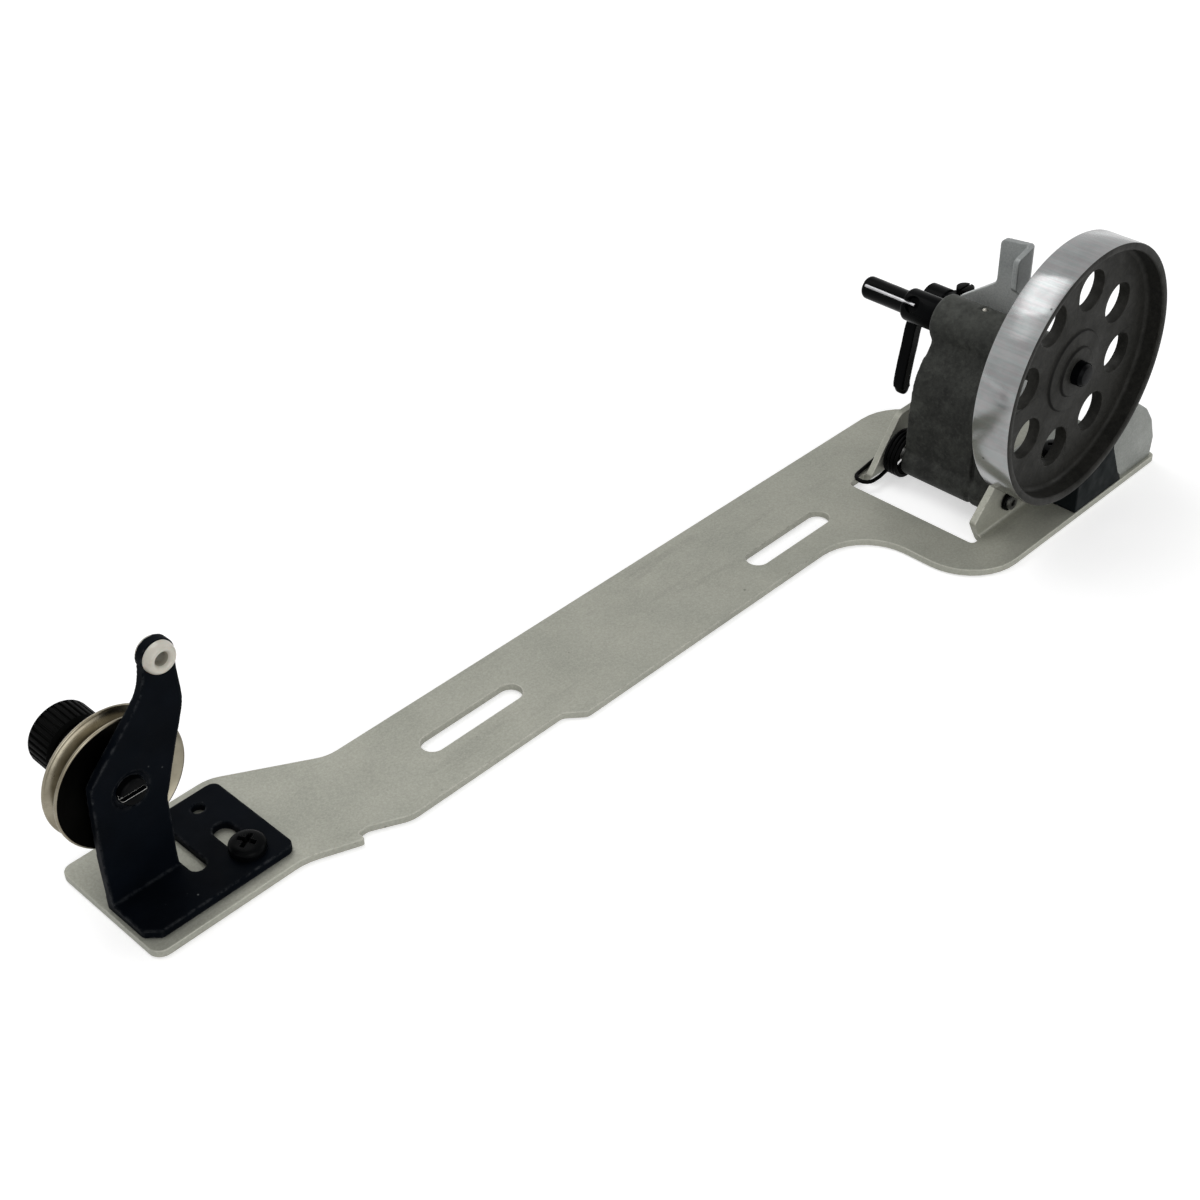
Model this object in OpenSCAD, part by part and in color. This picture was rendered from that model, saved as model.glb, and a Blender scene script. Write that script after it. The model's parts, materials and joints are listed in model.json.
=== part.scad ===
// Bench bobbin winder of an industrial sewing machine, in millimetres, +Z up.
// X runs from the tension end to the wheel end and is 0 at the spindle.
// Y is 0 on a line along the strip, strip_near from its near edge.
// Z is 0 on the plate's underside.
// The near side is -Y, where the wheel is, and the far side is +Y, where the bobbin goes.

/* [Plate] */
// Thickness of the plate
plate_t = 1.8; // [1.6:0.1:2.4]
// Reach of the plate from the spindle to its tension end
plate_reach = 239.8; // [232:1:270]
// Reach of the plate from the spindle to its wheel end
tail_reach = 40; // [40:0.5:50]
// Width of the long strip
strip_w = 27.2; // [25:0.2:32]
// Distance from the line Y = 0 to the near edge under the wheel
wheel_edge = 52.3; // [52:0.1:60]
// Width of the two table slots
slot_w = 5.8; // [4:0.1:6.4]
// Length of the two table slots
slot_l = 28.6; // [16:0.5:30]
// Height of the near ear over the underside
near_ear_h = 16.5; // [14:0.5:20]
// Height of the far ear over the underside
far_ear_h = 16; // [14:0.5:20]

/* [Hinge] */
// Distance of the hinge pin from the spindle, along X
hinge_back = 9.8; // [9:0.1:12]
// Height of the hinge pin over the underside
hinge_h = 7.1; // [6.8:0.1:8]
// Radius of the hinge pin
hinge_r = 1.8; // [1.6:0.1:2.6]
// Radius of the hinge pin's own bore
hinge_bore_r = 0.9; // [0.6:0.1:1]

/* [Spindle] */
// Height of the spindle axis over the underside
spindle_h = 42.8; // [42:0.2:46]
// Radius of the spindle in its bushes
shaft_r = 3; // [2.5:0.1:3.4]
// Radius of the bobbin pin
pin_r = 2.95; // [2.5:0.05:3]
// Length of the bobbin pin in front of its collar
pin_l = 13.2; // [10:0.2:18]
// Radius of the collar that the bobbin seats on
collar_r = 4.2; // [3.6:0.1:5]

/* [Wheel] */
// Outer radius of the wheel
wheel_r = 32.75; // [30:0.25:34]
// Width of the wheel's rim
wheel_w = 10; // [8:0.5:10]
// Thickness of the rim
rim_t = 1.95; // [1.5:0.05:3]
// Thickness of the web
web_t = 3; // [2:0.5:4]
// Number of holes in the web
web_holes = 8; // [4:1:9]
// Radius of the holes in the web
web_hole_r = 5.1; // [3:0.1:5.4]

/* [Winder frame] */
// Radius of the boss round the spindle
boss_r = 6.3; // [5.4:0.1:6.8]
// Radius of the frame's knuckle round the hinge pin
knuckle_r = 4.6; // [4:0.1:5]
// Outer radius of the spindle bushes
bush_r = 4.2; // [3.8:0.1:4.6]

/* [Latch and lever] */
// Distance of the latch shaft from the spindle, along X
latch_x = 16; // [15:0.25:18]
// Depth of the latch shaft below the spindle axis
latch_drop = 7.3; // [6:0.1:9]
// Radius of the latch shaft
latch_r = 2; // [1.5:0.1:2.4]
// Width of the latch's finger
finger_w = 3.2; // [2.4:0.1:4]
// Height of the latch's finger, down from the shaft
finger_l = 22; // [18:0.2:26]
// Thickness of the lever's sheet
lever_t = 1.6; // [1.2:0.1:2]
// Height of the lever's thumb tab over the spindle axis
tab_h = 22.5; // [16:0.5:26]

/* [Brake] */
// Gap between the brake block and the wheel's rim
brake_gap = 0.35; // [0.2:0.05:0.6]
// Depth of the brake block, along Y
block_w = 11; // [8:0.2:11]
// Thickness of the brake bracket's sheet
brake_t = 1.6; // [1.2:0.1:2]

/* [Thread tension] */
// Thickness of the tension bracket's sheet
arm_t = 2.1; // [1.6:0.1:2.4]
// Height of the tension stud over the underside
stud_h = 28.7; // [26:0.1:32]
// Radius of the tension stud
stud_r = 3; // [2.4:0.1:3.2]
// Radius of the tension discs
disc_r = 14.7; // [12:0.1:17]
// Thickness of the tension discs' sheet
disc_t = 0.7; // [0.5:0.05:0.9]
// Radius of the thumb nut
nut_r = 7.3; // [6:0.1:9]
// Length of the thumb nut
nut_l = 9.5; // [7:0.5:11]
// Height of the thread eyelet over the underside
eyelet_h = 55; // [52:0.2:58]
// Radius of the thread eyelet's hole
eyelet_bore_r = 1.3; // [1:0.1:2]

/* [Hidden] */
$fn = 96;

// Clearances and the overrun of every cut
fit_gap = 0.02;
run_gap = 0.06;
free_gap = 0.3;
overrun = 1;
// Largest turn of one step along a rounded corner, and rings along one curl of a spring
arc_step = 10;
curl_rings = 8;
wire_sides = 6;

// Places across the part that several pieces share, along Y
boss_near = -40.4;
boss_far = -10;
frame_near = -37.9;
frame_far = -11.2;
wheel_near = -52.5;

// Base plate
strip_near = 12.2;
strip_loss_w = 0.9;
pad_l = 36.4;
pad_near = 5.6;
pad_far = 28.2;
pad_near_r = 3;
pad_far_r = 2.5;
pad_far_l = 37;
pad_taper_l = 22.1;
neck_r = 14;
shoulder_near_r = 9;
shoulder_far_r = 9;
tooth_x = 191.4;
tooth_y = 10.5;
tooth_step = 2.5;
tooth_l = 2.6;
tooth_r = 0.6;
tooth_near_r = 2.4;
tooth_taper_l = 8.4;
tooth_far_r = 7;
joggle_x = 136.4;
joggle_l = 4.2;
joggle_d = 3.8;
joggle_r = 2.4;
belt_x = 36.6;
cove_r = 14.2;
lobe_r = 14.8;
tail_r = 1.5;
tail_far = 9;
tail_far_r = 6;
tail_cove_r = 3;
far_x = 17.5;
far_r = 15;
slot_1_x = -150.9;
slot_1_y = 1.4;
slot_2_x = -52.4;
slot_2_y = -6.3;
window_left = 24;
window_right = 8;
window_r = 1.2;
bend_r = 0.8;
near_ear_y = -40.2;
far_ear_y = -3.5;
ear_right = 6;
ear_lean = 1.8;
near_ear_left = 22.8;
near_ear_base = 2.2;
near_ear_foot = 6.2;
near_ear_top_l = 10.2;
far_ear_left = 18.2;
far_ear_top_l = 10.8;
far_ear_foot = 2.2;
ear_r = 3.4;
ear_foot_r = 1;

// Clips on the hinge pin and the latch shaft
clip_t = 0.8;
clip_wall = 0.6;
clip_mouth_share = 0.72;
clip_groove = 0.4;
pin_proud = 0.5;
pin_tail = 2.1;

// Return spring on the hinge pin
spring_wire_r = 0.55;
spring_r = 5.7;
spring_near = -10.7;
spring_pitch = 1.5;
spring_turns = 2.66;
spring_angle = 97;
spring_leg_x = 18.6;
spring_hook_r = 2.4;
spring_leg_end = 11.4;
spring_leg_rise = 0.1;
spring_tail_l = 2.4;
pocket_r = 1.6;
pocket_lead = 0.6;
pocket_d = 3;

// Brake
brake_left = 8;
brake_right = 38.5;
brake_far = -25.5;
brake_bend = -40.9;
brake_arm_left = 24.6;
brake_corner_r = 2;
brake_flange_right = 24;
brake_flange_h = 6.2;
block_left = 3.3;
block_foot = 24.2;
block_near = -52.1;
lip_near = -51.5;
lip_left = 18.6;
lip_w = 20.2;
lip_drop = 22.4;
lip_gap = 1;
lip_shares = [
    [0.33, 0, 0], [0.98, 0, 0], [1, 0.275, 0.12], [0.89, 0.58, 0.2],
    [0.72, 0.81, 0.25], [0.475, 1, 0.07], [0, 0.6, 0.04], [0.213, 0.118, 0.025]
];
brake_screw_x = 20.7;
brake_screw_y = -34.5;
brake_slot_l = 4;

// Pan-head screws
screw_r = 2;
head_r = 4;
head_h = 2.7;
head_edge = 0.9;
cross_w = 1;
cross_l = 4;
cross_d = 1.5;

// Winder frame
wall_near = -31;
wall_groove = 1.1;
groove_d = 1.2;
lug_top_share = 0.5;
wall_outer_shares = [
    [0.47, 0.935, 0], [-0.21, 0.66, 0.39], [-0.35, 0.28, 1.1], [-0.32, 0.07, 0.25], [-0.08, -0.128, 0]
];
wall_inner_shares = [[0.46, -0.02, 0], [0.25, 0.22, 0.3], [0.3, 0.6, 0.6], [1.05, 0.84, 0]];
rib_shares = [
    [0.46, -0.02, 0], [0.75, 0.15, 0.15], [1.45, 0.85, 0], [0.9, 0.9, 0], [0.1, 0.6, 0], [0.1, 0.2, 0]
];
rib_t = 2.6;
boss_edge = 0.8;
oil_y = -22;
oil_r = 2;
oil_h = 0.7;
oil_hole_r = 0.8;
lug_near = -23.8;
lug_far = -12;
lug_wall = 2.3;
lug_bottom = 3.7;
lug_top = 3.3;

// Bushes
bush_l = 9.5;
flange_r = 5.3;
flange_t = 0.6;

// Spindle, its spring and its notch
collar_far = 0.5;
spindle_near = -51.75;
shaft_edge = 0.7;
pin_edge = 1;
collar_edge = 0.5;
centre_r = 0.9;
centre_d = 0.8;
wire_r = 0.45;
groove_w = 1.1;
groove_r = 2;
groove_turn = -55;
notch_y = -2.8;
notch_r = 2.1;
wire_end = 1.9;

// Wheel
web_face = 4.8;
wheel_edge_r = 0.5;
web_cove = 0.8;
hole_circle_share = 0.61;
hole_turn = 34.2;
hub_r = 10.1;
hub_small_r = 6.2;
hub_step = 0.7;
hub_back_r = 7;
hub_gap = 0.3;
grub_r = 1.2;
grub_l = 3.4;
grub_key_r = 0.6;
grub_key_d = 1.5;

// Latch, its shaft, spring and screw
hub_wall = 1.9;
head_step = 0.6;
head_l = 5.7;
latch_far = 5.5;
finger_t = 3.2;
latch_hub_near = -6;
finger_reach = 11.2;
finger_shares = [
    [-0.1, 0], [-0.45, -0.035], [-0.7, -0.16], [-0.82, -0.42], [-0.9, -0.58], [-1, -0.85], [-0.97, -0.96]
];
shaft_near = -28.8;
shaft_head_r = 2.6;
shaft_head_t = 0.5;
latch_wire_r = 0.35;
latch_spring_r = 3.1;
latch_pitch = 1.15;
latch_turns = 1.25;
latch_spring_near = -8.2;
latch_tail_l = 1;
latch_lug_w = 5.2;
latch_lug_x = 5.8;
latch_lug_y = -5.6;
latch_lug_h = 3.7;
adjust_r = 1.2;
adjust_head_r = 2.3;
adjust_head_h = 1.3;
adjust_l = 6;
adjust_slot_w = 0.5;
adjust_slot_d = 0.6;

// Thumb lever
lever_x = 8;
lever_near = -26.9;
lever_edge_r = 1;
lever_root_r = 2;
lever_far = -9;
lever_bottom = -2;
lever_side_z = 2.3;
tab_far = -19.1;
tab_root = 9.8;
tab_r = 1.6;
flange_reach = 6;
flange_root = 7;
flange_foot = 13;
flange_drop = 1.7;
tab_drop = 1.1;
lever_ear_near = -25.8;
lever_ear_wall = 2.5;
lever_tail_x = 13;
lever_tail_z = 14;
lever_tail_w = 6;

// Tension bracket
foot_left = 239;
foot_right = 203.3;
foot_near = -2.8;
foot_far = 24.6;
foot_r = 2;
foot_chamfer = 2.8;
foot_edge_r = 0.8;
relief_left = 222.6;
relief_right = 218.7;
relief_near = 7.1;
arm_near = 9.7;
arm_slot_x = 211;
arm_slot_w = 4.5;
arm_slot_near = 0.3;
arm_slot_far = 13.5;
small_hole_x = 210.8;
small_hole_y = 20.2;
small_hole_r = 1.5;
bracket_screw_y = 2.9;
arm_w = 15;
arm_top_r = 3.8;
arm_right_shares = [
    [0.45, 0], [0.45, 0.092], [0.47, 0.193], [0.479, 0.301], [0.485, 0.352], [0.54, 0.394],
    [0.637, 0.478], [0.771, 0.587], [0.89, 0.677], [0.98, 0.77], [0.977, 0.905]
];
arm_left_shares = [
    [0.51, 0.983], [0.467, 0.922], [0.393, 0.869], [0.247, 0.816], [0.08, 0.767],
    [-0.293, 0.659], [-0.507, 0.589], [-0.545, 0.56], [-0.58, 0.432], [-0.62, 0.2], [-0.627, 0]
];
eyelet_x = 218.3;
stud_x = 229.6;

// Eyelet
eyelet_r = 3.5;
eyelet_neck_r = 2.2;
eyelet_lip = 1.9;
eyelet_back = 1.1;

// Stud, discs, washer, spring and nut
stud_head_r = 4.1;
stud_head_d = 0.5;
stud_slot_w = 1.1;
stud_slot_d = 1.2;
stud_proud = 1.2;
stud_seat_r = 4.2;
disc_plane = 15.4;
disc_gap = 0.1;
disc_flat_r = 8;
disc_dish_r = 12;
disc_dish = 0.5;
disc_rise = 2;
washer_r = 6.4;
washer_t = 0.8;
press_wire_r = 0.5;
press_r = 4.5;
press_turns = 3.6;
press_pitch = 1.7;
press_lead = 1;
nut_edge = 0.6;
nut_neck_r = 6;
nut_neck_l = 1.4;
nut_grip_r = 0.5;
nut_grips = 32;
stud_over = 0.8;

// Places worked out from the sizes above
strip_far = strip_w - strip_near;
rise = spindle_h - hinge_h;
latch_z = spindle_h - latch_drop;
pin_far = collar_far + pin_l;
lip_h = spindle_h - lip_drop;
foot_top = plate_t + arm_t;
arm_far = arm_near + arm_t;
near_disc_back = disc_plane - disc_gap - disc_t;
washer_y = disc_plane + disc_gap + disc_t + disc_gap;
press_y = washer_y + washer_t;
press_l = 2 * press_lead + press_turns * press_pitch;
nut_y = press_y + press_l + 2 * disc_gap;
spring_far = spring_near + spring_turns * spring_pitch;
hub_back = boss_near - flange_t - hub_gap;
grub_y = (wheel_near + web_face + web_t + hub_back) / 2;
adjust_x = latch_x + latch_r + adjust_r + free_gap;
adjust_y = latch_lug_y + latch_lug_w / 2;

// Outline and path helpers

function unit(v) = v / norm(v);
function flat(p) = [p[0], p[1]];

// Arc at corner b of the path a, b, c, where b holds [x, y, radius]
function cornerArc(a, b, c) =
    let (
        r = b[2],
        p = flat(b),
        u = unit(flat(a) - p),
        w = unit(flat(c) - p),
        half = acos(u * w) / 2,
        centre = p + unit(u + w) * r / sin(half),
        first = p + u * r / tan(half) - centre,
        turn = sign(cross(-u, w)) * (180 - 2 * half),
        steps = ceil(abs(turn) / arc_step),
        start = atan2(first[1], first[0])
    )
    [for (i = [0:steps]) centre + r * [cos(start + turn * i / steps), sin(start + turn * i / steps)]];

// Outline of corners [x, y, radius], with a sharp corner where the radius is 0
function rounded(corners) =
    let (n = len(corners))
    [for (i = [0:n - 1])
        each corners[i][2] == 0
            ? [flat(corners[i])]
            : cornerArc(corners[(i + n - 1) % n], corners[i], corners[(i + 1) % n])];

// Point at t, from 0 to 1, of a smooth curve from b to c that heads from a towards d
function curvePoint(a, b, c, d, t) =
    (2 * b + (c - a) * t + (2 * a - 5 * b + 4 * c - d) * pow(t, 2)
        + (3 * b - a - 3 * c + d) * pow(t, 3)) / 2;

// Smooth curve through all the points, with the given steps between two of them
function smooth(points, steps) =
    let (n = len(points))
    [for (i = [0:n - 2])
        for (k = [0:(i == n - 2 ? steps : steps - 1)])
            curvePoint(
                points[max(i - 1, 0)], points[i], points[i + 1], points[min(i + 2, n - 1)], k / steps)];

function heading(points, i) =
    unit(points[min(i + 1, len(points) - 1)] - points[max(i - 1, 0)]);

// Outline of a strip of width w along a flat path
function strip(points, w) =
    let (n = len(points), side = [for (i = [0:n - 1]) let (d = heading(points, i)) [-d[1], d[0]] * w / 2])
    concat(
        [for (i = [0:n - 1]) points[i] + side[i]],
        [for (i = [n - 1:-1:0]) points[i] - side[i]]
    );

// Directions across a path that turn with it and never twist
function across(points, i, last) =
    i >= len(points)
        ? []
        : let (d = heading(points, i), n = unit(last - (last * d) * d))
          concat([n], across(points, i + 1, n));

// Least gap that a wire keeps to itself, on the points of its path
function wireGap(points, r) =
    min([for (i = [0:len(points) - 1]) for (j = [i + curl_rings - 2:1:len(points) - 1])
        norm(points[i] - points[j]) - 2 * r]);

// Turns of a coil about the Y axis, from angle start and place y0
function coil(r, y0, pitch, turns, start) =
    let (n = ceil(turns * curl_rings))
    [for (i = [0:n])
        let (a = start + 360 * turns * i / n)
        [r * cos(a), y0 + pitch * turns * i / n, r * sin(a)]];

// Solid wire along a path
module wire(points, r, sideways) {
    n = len(points);
    normals = across(points, 0, sideways);
    rings = [for (i = [0:n - 1])
        for (k = [0:wire_sides - 1])
            let (a = 360 * k / wire_sides, d = heading(points, i))
            points[i] + r * (cos(a) * normals[i] + sin(a) * cross(d, normals[i]))];
    skin = [for (i = [0:n - 2])
        for (k = [0:wire_sides - 1])
            let (p = i * wire_sides + k, q = i * wire_sides + (k + 1) % wire_sides)
            each [[p, p + wire_sides, q], [q, p + wire_sides, q + wire_sides]]];
    near_cap = [for (k = [1:wire_sides - 2]) [0, k, k + 1]];
    last = (n - 1) * wire_sides;
    far_cap = [for (k = [1:wire_sides - 2]) [last, last + k + 1, last + k]];
    polyhedron(points = rings, faces = concat(skin, near_cap, far_cap));
}

// Flat outline in X and Z, carried along Y from y0 to y1
module alongY(y0, y1) {
    translate([0, y1, 0]) rotate([90, 0, 0]) linear_extrude(y1 - y0) children();
}

// Flat outline in Y and Z, carried along X from x0 to x1
module alongX(x0, x1) {
    translate([x0, 0, 0]) rotate([90, 0, 90]) linear_extrude(x1 - x0) children();
}

// Round bar along Y
module rod(r, x, z, y0, y1) {
    translate([x, y0, z]) rotate([-90, 0, 0]) cylinder(r = r, h = y1 - y0);
}

// Profile of radius and height turned about an axis along Y that starts at y
module turned(x, z, y, profile) {
    translate([x, y, z]) rotate([-90, 0, 0]) rotate_extrude() polygon(profile);
}

// Slot with round ends between two centres
module slot(a, b, w, z0, z1) {
    d = b - a;
    translate([a[0], a[1], z0]) {
        cylinder(d = w, h = z1 - z0);
        translate([d[0], d[1], 0]) cylinder(d = w, h = z1 - z0);
        rotate([0, 0, atan2(d[1], d[0])]) translate([0, -w / 2, 0]) cube([norm(d), w, z1 - z0]);
    }
}

// Open ring that snaps into a groove of radius r
module clip(r, x, z, y) {
    difference() {
        rod(r + clip_wall, x, z, y, y + clip_t);
        rod(r - clip_groove + fit_gap, x, z, y - overrun, y + clip_t + overrun);
        translate([x, y - overrun, z - r * clip_mouth_share])
            cube([2 * (r + clip_wall), clip_t + 2 * overrun, 2 * r * clip_mouth_share]);
    }
}

// Pan-head screw that stands on height z and reaches down by l
module panScrew(x, y, z, l) {
    dome = [for (i = [0:4]) let (t = i / 4)
        [head_r * cos(90 * t * t), head_edge + (head_h - head_edge) * sin(90 * t)]];
    translate([x, y, z]) difference() {
        union() {
            rotate_extrude() polygon(concat([[0, 0], [head_r, 0]], dome));
            translate([0, 0, -l]) cylinder(r = screw_r, h = l + head_edge / 2);
        }
        for (a = [0, 90])
            rotate([0, 0, a]) translate([-cross_l / 2, -cross_w / 2, head_h - cross_d])
                cube([cross_l, cross_w, cross_d + overrun]);
    }
}

// Base plate

function plateOutline() = rounded([
    [-plate_reach, -pad_near, pad_near_r],
    [pad_l - plate_reach, -pad_near, neck_r],
    [-tooth_x, -tooth_y, tooth_r],
    [-tooth_x, tooth_step - tooth_y, tooth_r],
    [tooth_l - tooth_x, tooth_step - tooth_y, tooth_near_r],
    [tooth_l + tooth_taper_l - tooth_x, -strip_near, tooth_far_r],
    [-joggle_x, -strip_near, joggle_r],
    [joggle_l - joggle_x, -strip_near - joggle_d, joggle_r],
    [-belt_x, -strip_near - joggle_d, cove_r],
    [-belt_x, -wheel_edge, lobe_r],
    [tail_reach, -wheel_edge, tail_r],
    [tail_reach, -tail_far, tail_far_r],
    [far_x, -tail_far, tail_cove_r],
    [far_x, strip_far - strip_loss_w, far_r],
    [pad_far_l + pad_taper_l - plate_reach, strip_far, shoulder_far_r],
    [pad_far_l - plate_reach, pad_far, shoulder_near_r],
    [-plate_reach, pad_far, pad_far_r]
]);

// Section of a bend: the ear's outer face is at 0 and the plate lies on the minus side
module bendSection(h) {
    difference() {
        union() {
            translate([-2 * bend_r, 0]) square([2 * bend_r, plate_t]);
            translate([-bend_r, 0]) square([bend_r + plate_t, plate_t + bend_r]);
            square([plate_t, h]);
        }
        translate([-bend_r, plate_t + bend_r]) circle(r = bend_r, $fn = 32);
        difference() {
            translate([-bend_r, -overrun]) square([bend_r + plate_t + overrun, plate_t + bend_r + overrun]);
            translate([-bend_r, plate_t + bend_r]) circle(r = bend_r + plate_t, $fn = 48);
        }
    }
}

module ear(outline, y, side, h) {
    difference() {
        intersection() {
            alongY(y - 2 * plate_t - bend_r, y + 2 * plate_t + bend_r) polygon(rounded(outline));
            translate([0, y, 0]) mirror([0, side, 0]) alongX(-window_left, window_right) bendSection(h);
        }
        rod(hinge_r + fit_gap, -hinge_back, hinge_h, y - 2 * plate_t, y + 2 * plate_t);
    }
}

module base_plate() color([0.61, 0.62, 0.57]) {
    difference() {
        linear_extrude(plate_t) polygon(plateOutline());
        slot([slot_1_x - (slot_l - slot_w) / 2, slot_1_y], [slot_1_x + (slot_l - slot_w) / 2, slot_1_y],
            slot_w, -overrun, plate_t + overrun);
        slot([slot_2_x - (slot_l - slot_w) / 2, slot_2_y], [slot_2_x + (slot_l - slot_w) / 2, slot_2_y],
            slot_w, -overrun, plate_t + overrun);
        translate([0, 0, -overrun]) linear_extrude(plate_t + 2 * overrun) polygon(rounded([
            [-window_left, near_ear_y - bend_r, window_r],
            [window_right, near_ear_y - bend_r, window_r],
            [window_right, far_ear_y + bend_r, window_r],
            [-window_left, far_ear_y + bend_r, window_r]
        ]));
        translate([-arm_slot_x, bracket_screw_y, -overrun])
            cylinder(r = screw_r + fit_gap, h = plate_t + 2 * overrun);
        translate([brake_screw_x, brake_screw_y, -overrun])
            cylinder(r = screw_r + fit_gap, h = plate_t + 2 * overrun);
    }
    ear([
        [-near_ear_left + near_ear_base, 0, 0], [ear_right, 0, 0], [ear_right - ear_lean, near_ear_h, ear_r],
        [-near_ear_left + near_ear_top_l, near_ear_h, ear_r], [-near_ear_left, near_ear_foot, ear_foot_r],
        [-near_ear_left + near_ear_base, plate_t, 0]
    ], near_ear_y, 0, near_ear_h);
    ear([
        [-far_ear_left, 0, 0], [ear_right, 0, 0], [ear_right - ear_lean, far_ear_h, ear_r],
        [-far_ear_left + far_ear_top_l, far_ear_h, ear_r], [-far_ear_left, far_ear_foot, ear_foot_r]
    ], far_ear_y, 1, far_ear_h);
}

// Hinge

module hinge_pin() color([0.3, 0.3, 0.3]) difference() {
    rod(hinge_r, -hinge_back, hinge_h, near_ear_y - pin_tail, far_ear_y + pin_proud);
    rod(hinge_bore_r, -hinge_back, hinge_h, near_ear_y - pin_tail - overrun, far_ear_y + pin_proud + overrun);
    difference() {
        rod(hinge_r + overrun, -hinge_back, hinge_h,
            near_ear_y - free_gap - clip_t - 2 * fit_gap, near_ear_y - free_gap);
        rod(hinge_r - clip_groove, -hinge_back, hinge_h, near_ear_y - pin_tail, near_ear_y);
    }
}

module hinge_clip() color([0.15, 0.15, 0.15])
    clip(hinge_r, -hinge_back, hinge_h, near_ear_y - free_gap - clip_t - fit_gap);

// Path of the return spring: a tail in the frame's pocket, the coil, and a leg hooked round the far ear
function springPath() =
    let (
        axis = [-hinge_back, 0, hinge_h],
        turns = [for (p = coil(spring_r, spring_near, spring_pitch, spring_turns, spring_angle)) axis + p],
        first = turns[0],
        leg_z = plate_t + spring_wire_r + spring_leg_rise,
        hook_y = spring_far + spring_hook_r,
        hook = [for (a = [-90:-30:-270])
            [-spring_leg_x + spring_hook_r * cos(a), hook_y + spring_hook_r * sin(a), leg_z]],
        foot = [-spring_leg_end, far_ear_y + bend_r + 2 * spring_wire_r, leg_z]
    )
    concat(
        [first - [0, spring_tail_l, 0], first - [0, spring_tail_l / 2, 0]],
        turns,
        [[-spring_leg_x + spring_hook_r, spring_far, leg_z]],
        hook,
        [(hook[len(hook) - 1] + foot) / 2, foot]
    );

module return_spring() color([0.1, 0.1, 0.1]) wire(springPath(), spring_wire_r, [1, 0, 0]);

// Brake

function lipCorners() =
    [for (s = lip_shares) [lip_left + lip_w * s[0], plate_t + lip_h * s[1], lip_h * s[2]]];

module brake_bracket() color([0.52, 0.54, 0.52]) {
    difference() {
        translate([0, 0, plate_t]) linear_extrude(brake_t) polygon(rounded([
            [brake_left, brake_bend, 0],
            [brake_arm_left, brake_bend, 0],
            [brake_arm_left, lip_near, 0],
            [brake_right, lip_near, 0],
            [brake_right, brake_far, brake_corner_r],
            [brake_left, brake_far, brake_corner_r]
        ]));
        slot([brake_screw_x, brake_screw_y - brake_slot_l / 2],
            [brake_screw_x, brake_screw_y + brake_slot_l / 2],
            2 * (screw_r + free_gap), plate_t - overrun, plate_t + brake_t + overrun);
    }
    translate([brake_left, brake_bend, plate_t])
        cube([brake_flange_right - brake_left, brake_t, brake_flange_h + brake_t]);
    difference() {
        alongY(lip_near, lip_near + brake_t) polygon(rounded(lipCorners()));
        rod(wheel_r + lip_gap, 0, spindle_h, lip_near - overrun, lip_near + brake_t + overrun);
    }
}

module brake_block() color([0.09, 0.1, 0.1]) difference() {
    side = [for (i = [7, 6]) flat(lipCorners()[i]) - [brake_gap, 0]];
    alongY(block_near, min(block_near + block_w, brake_bend)) polygon([
        [block_left, plate_t],
        [block_foot, plate_t],
        side[0],
        side[1],
        [side[1][0], spindle_h / 2],
        [block_left, spindle_h / 2]
    ]);
    rod(wheel_r + brake_gap, 0, spindle_h, block_near - overrun, brake_bend + overrun);
}

module brake_screw() color([0.08, 0.08, 0.08])
    panScrew(brake_screw_x, brake_screw_y, plate_t + brake_t, brake_t + plate_t - free_gap);

module bracket_screw() color([0.08, 0.08, 0.08])
    panScrew(-arm_slot_x, bracket_screw_y, foot_top + run_gap, foot_top + run_gap - free_gap);

// Winder frame

function wallCorners(shares) =
    [for (s = shares) [hinge_back * (s[0] - 1), hinge_h + rise * s[1], rise * s[2]]];

module wallSection() {
    polygon(rounded(concat(wallCorners(wall_outer_shares), wallCorners(wall_inner_shares))));
    translate([-hinge_back, hinge_h]) circle(r = knuckle_r);
}

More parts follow.
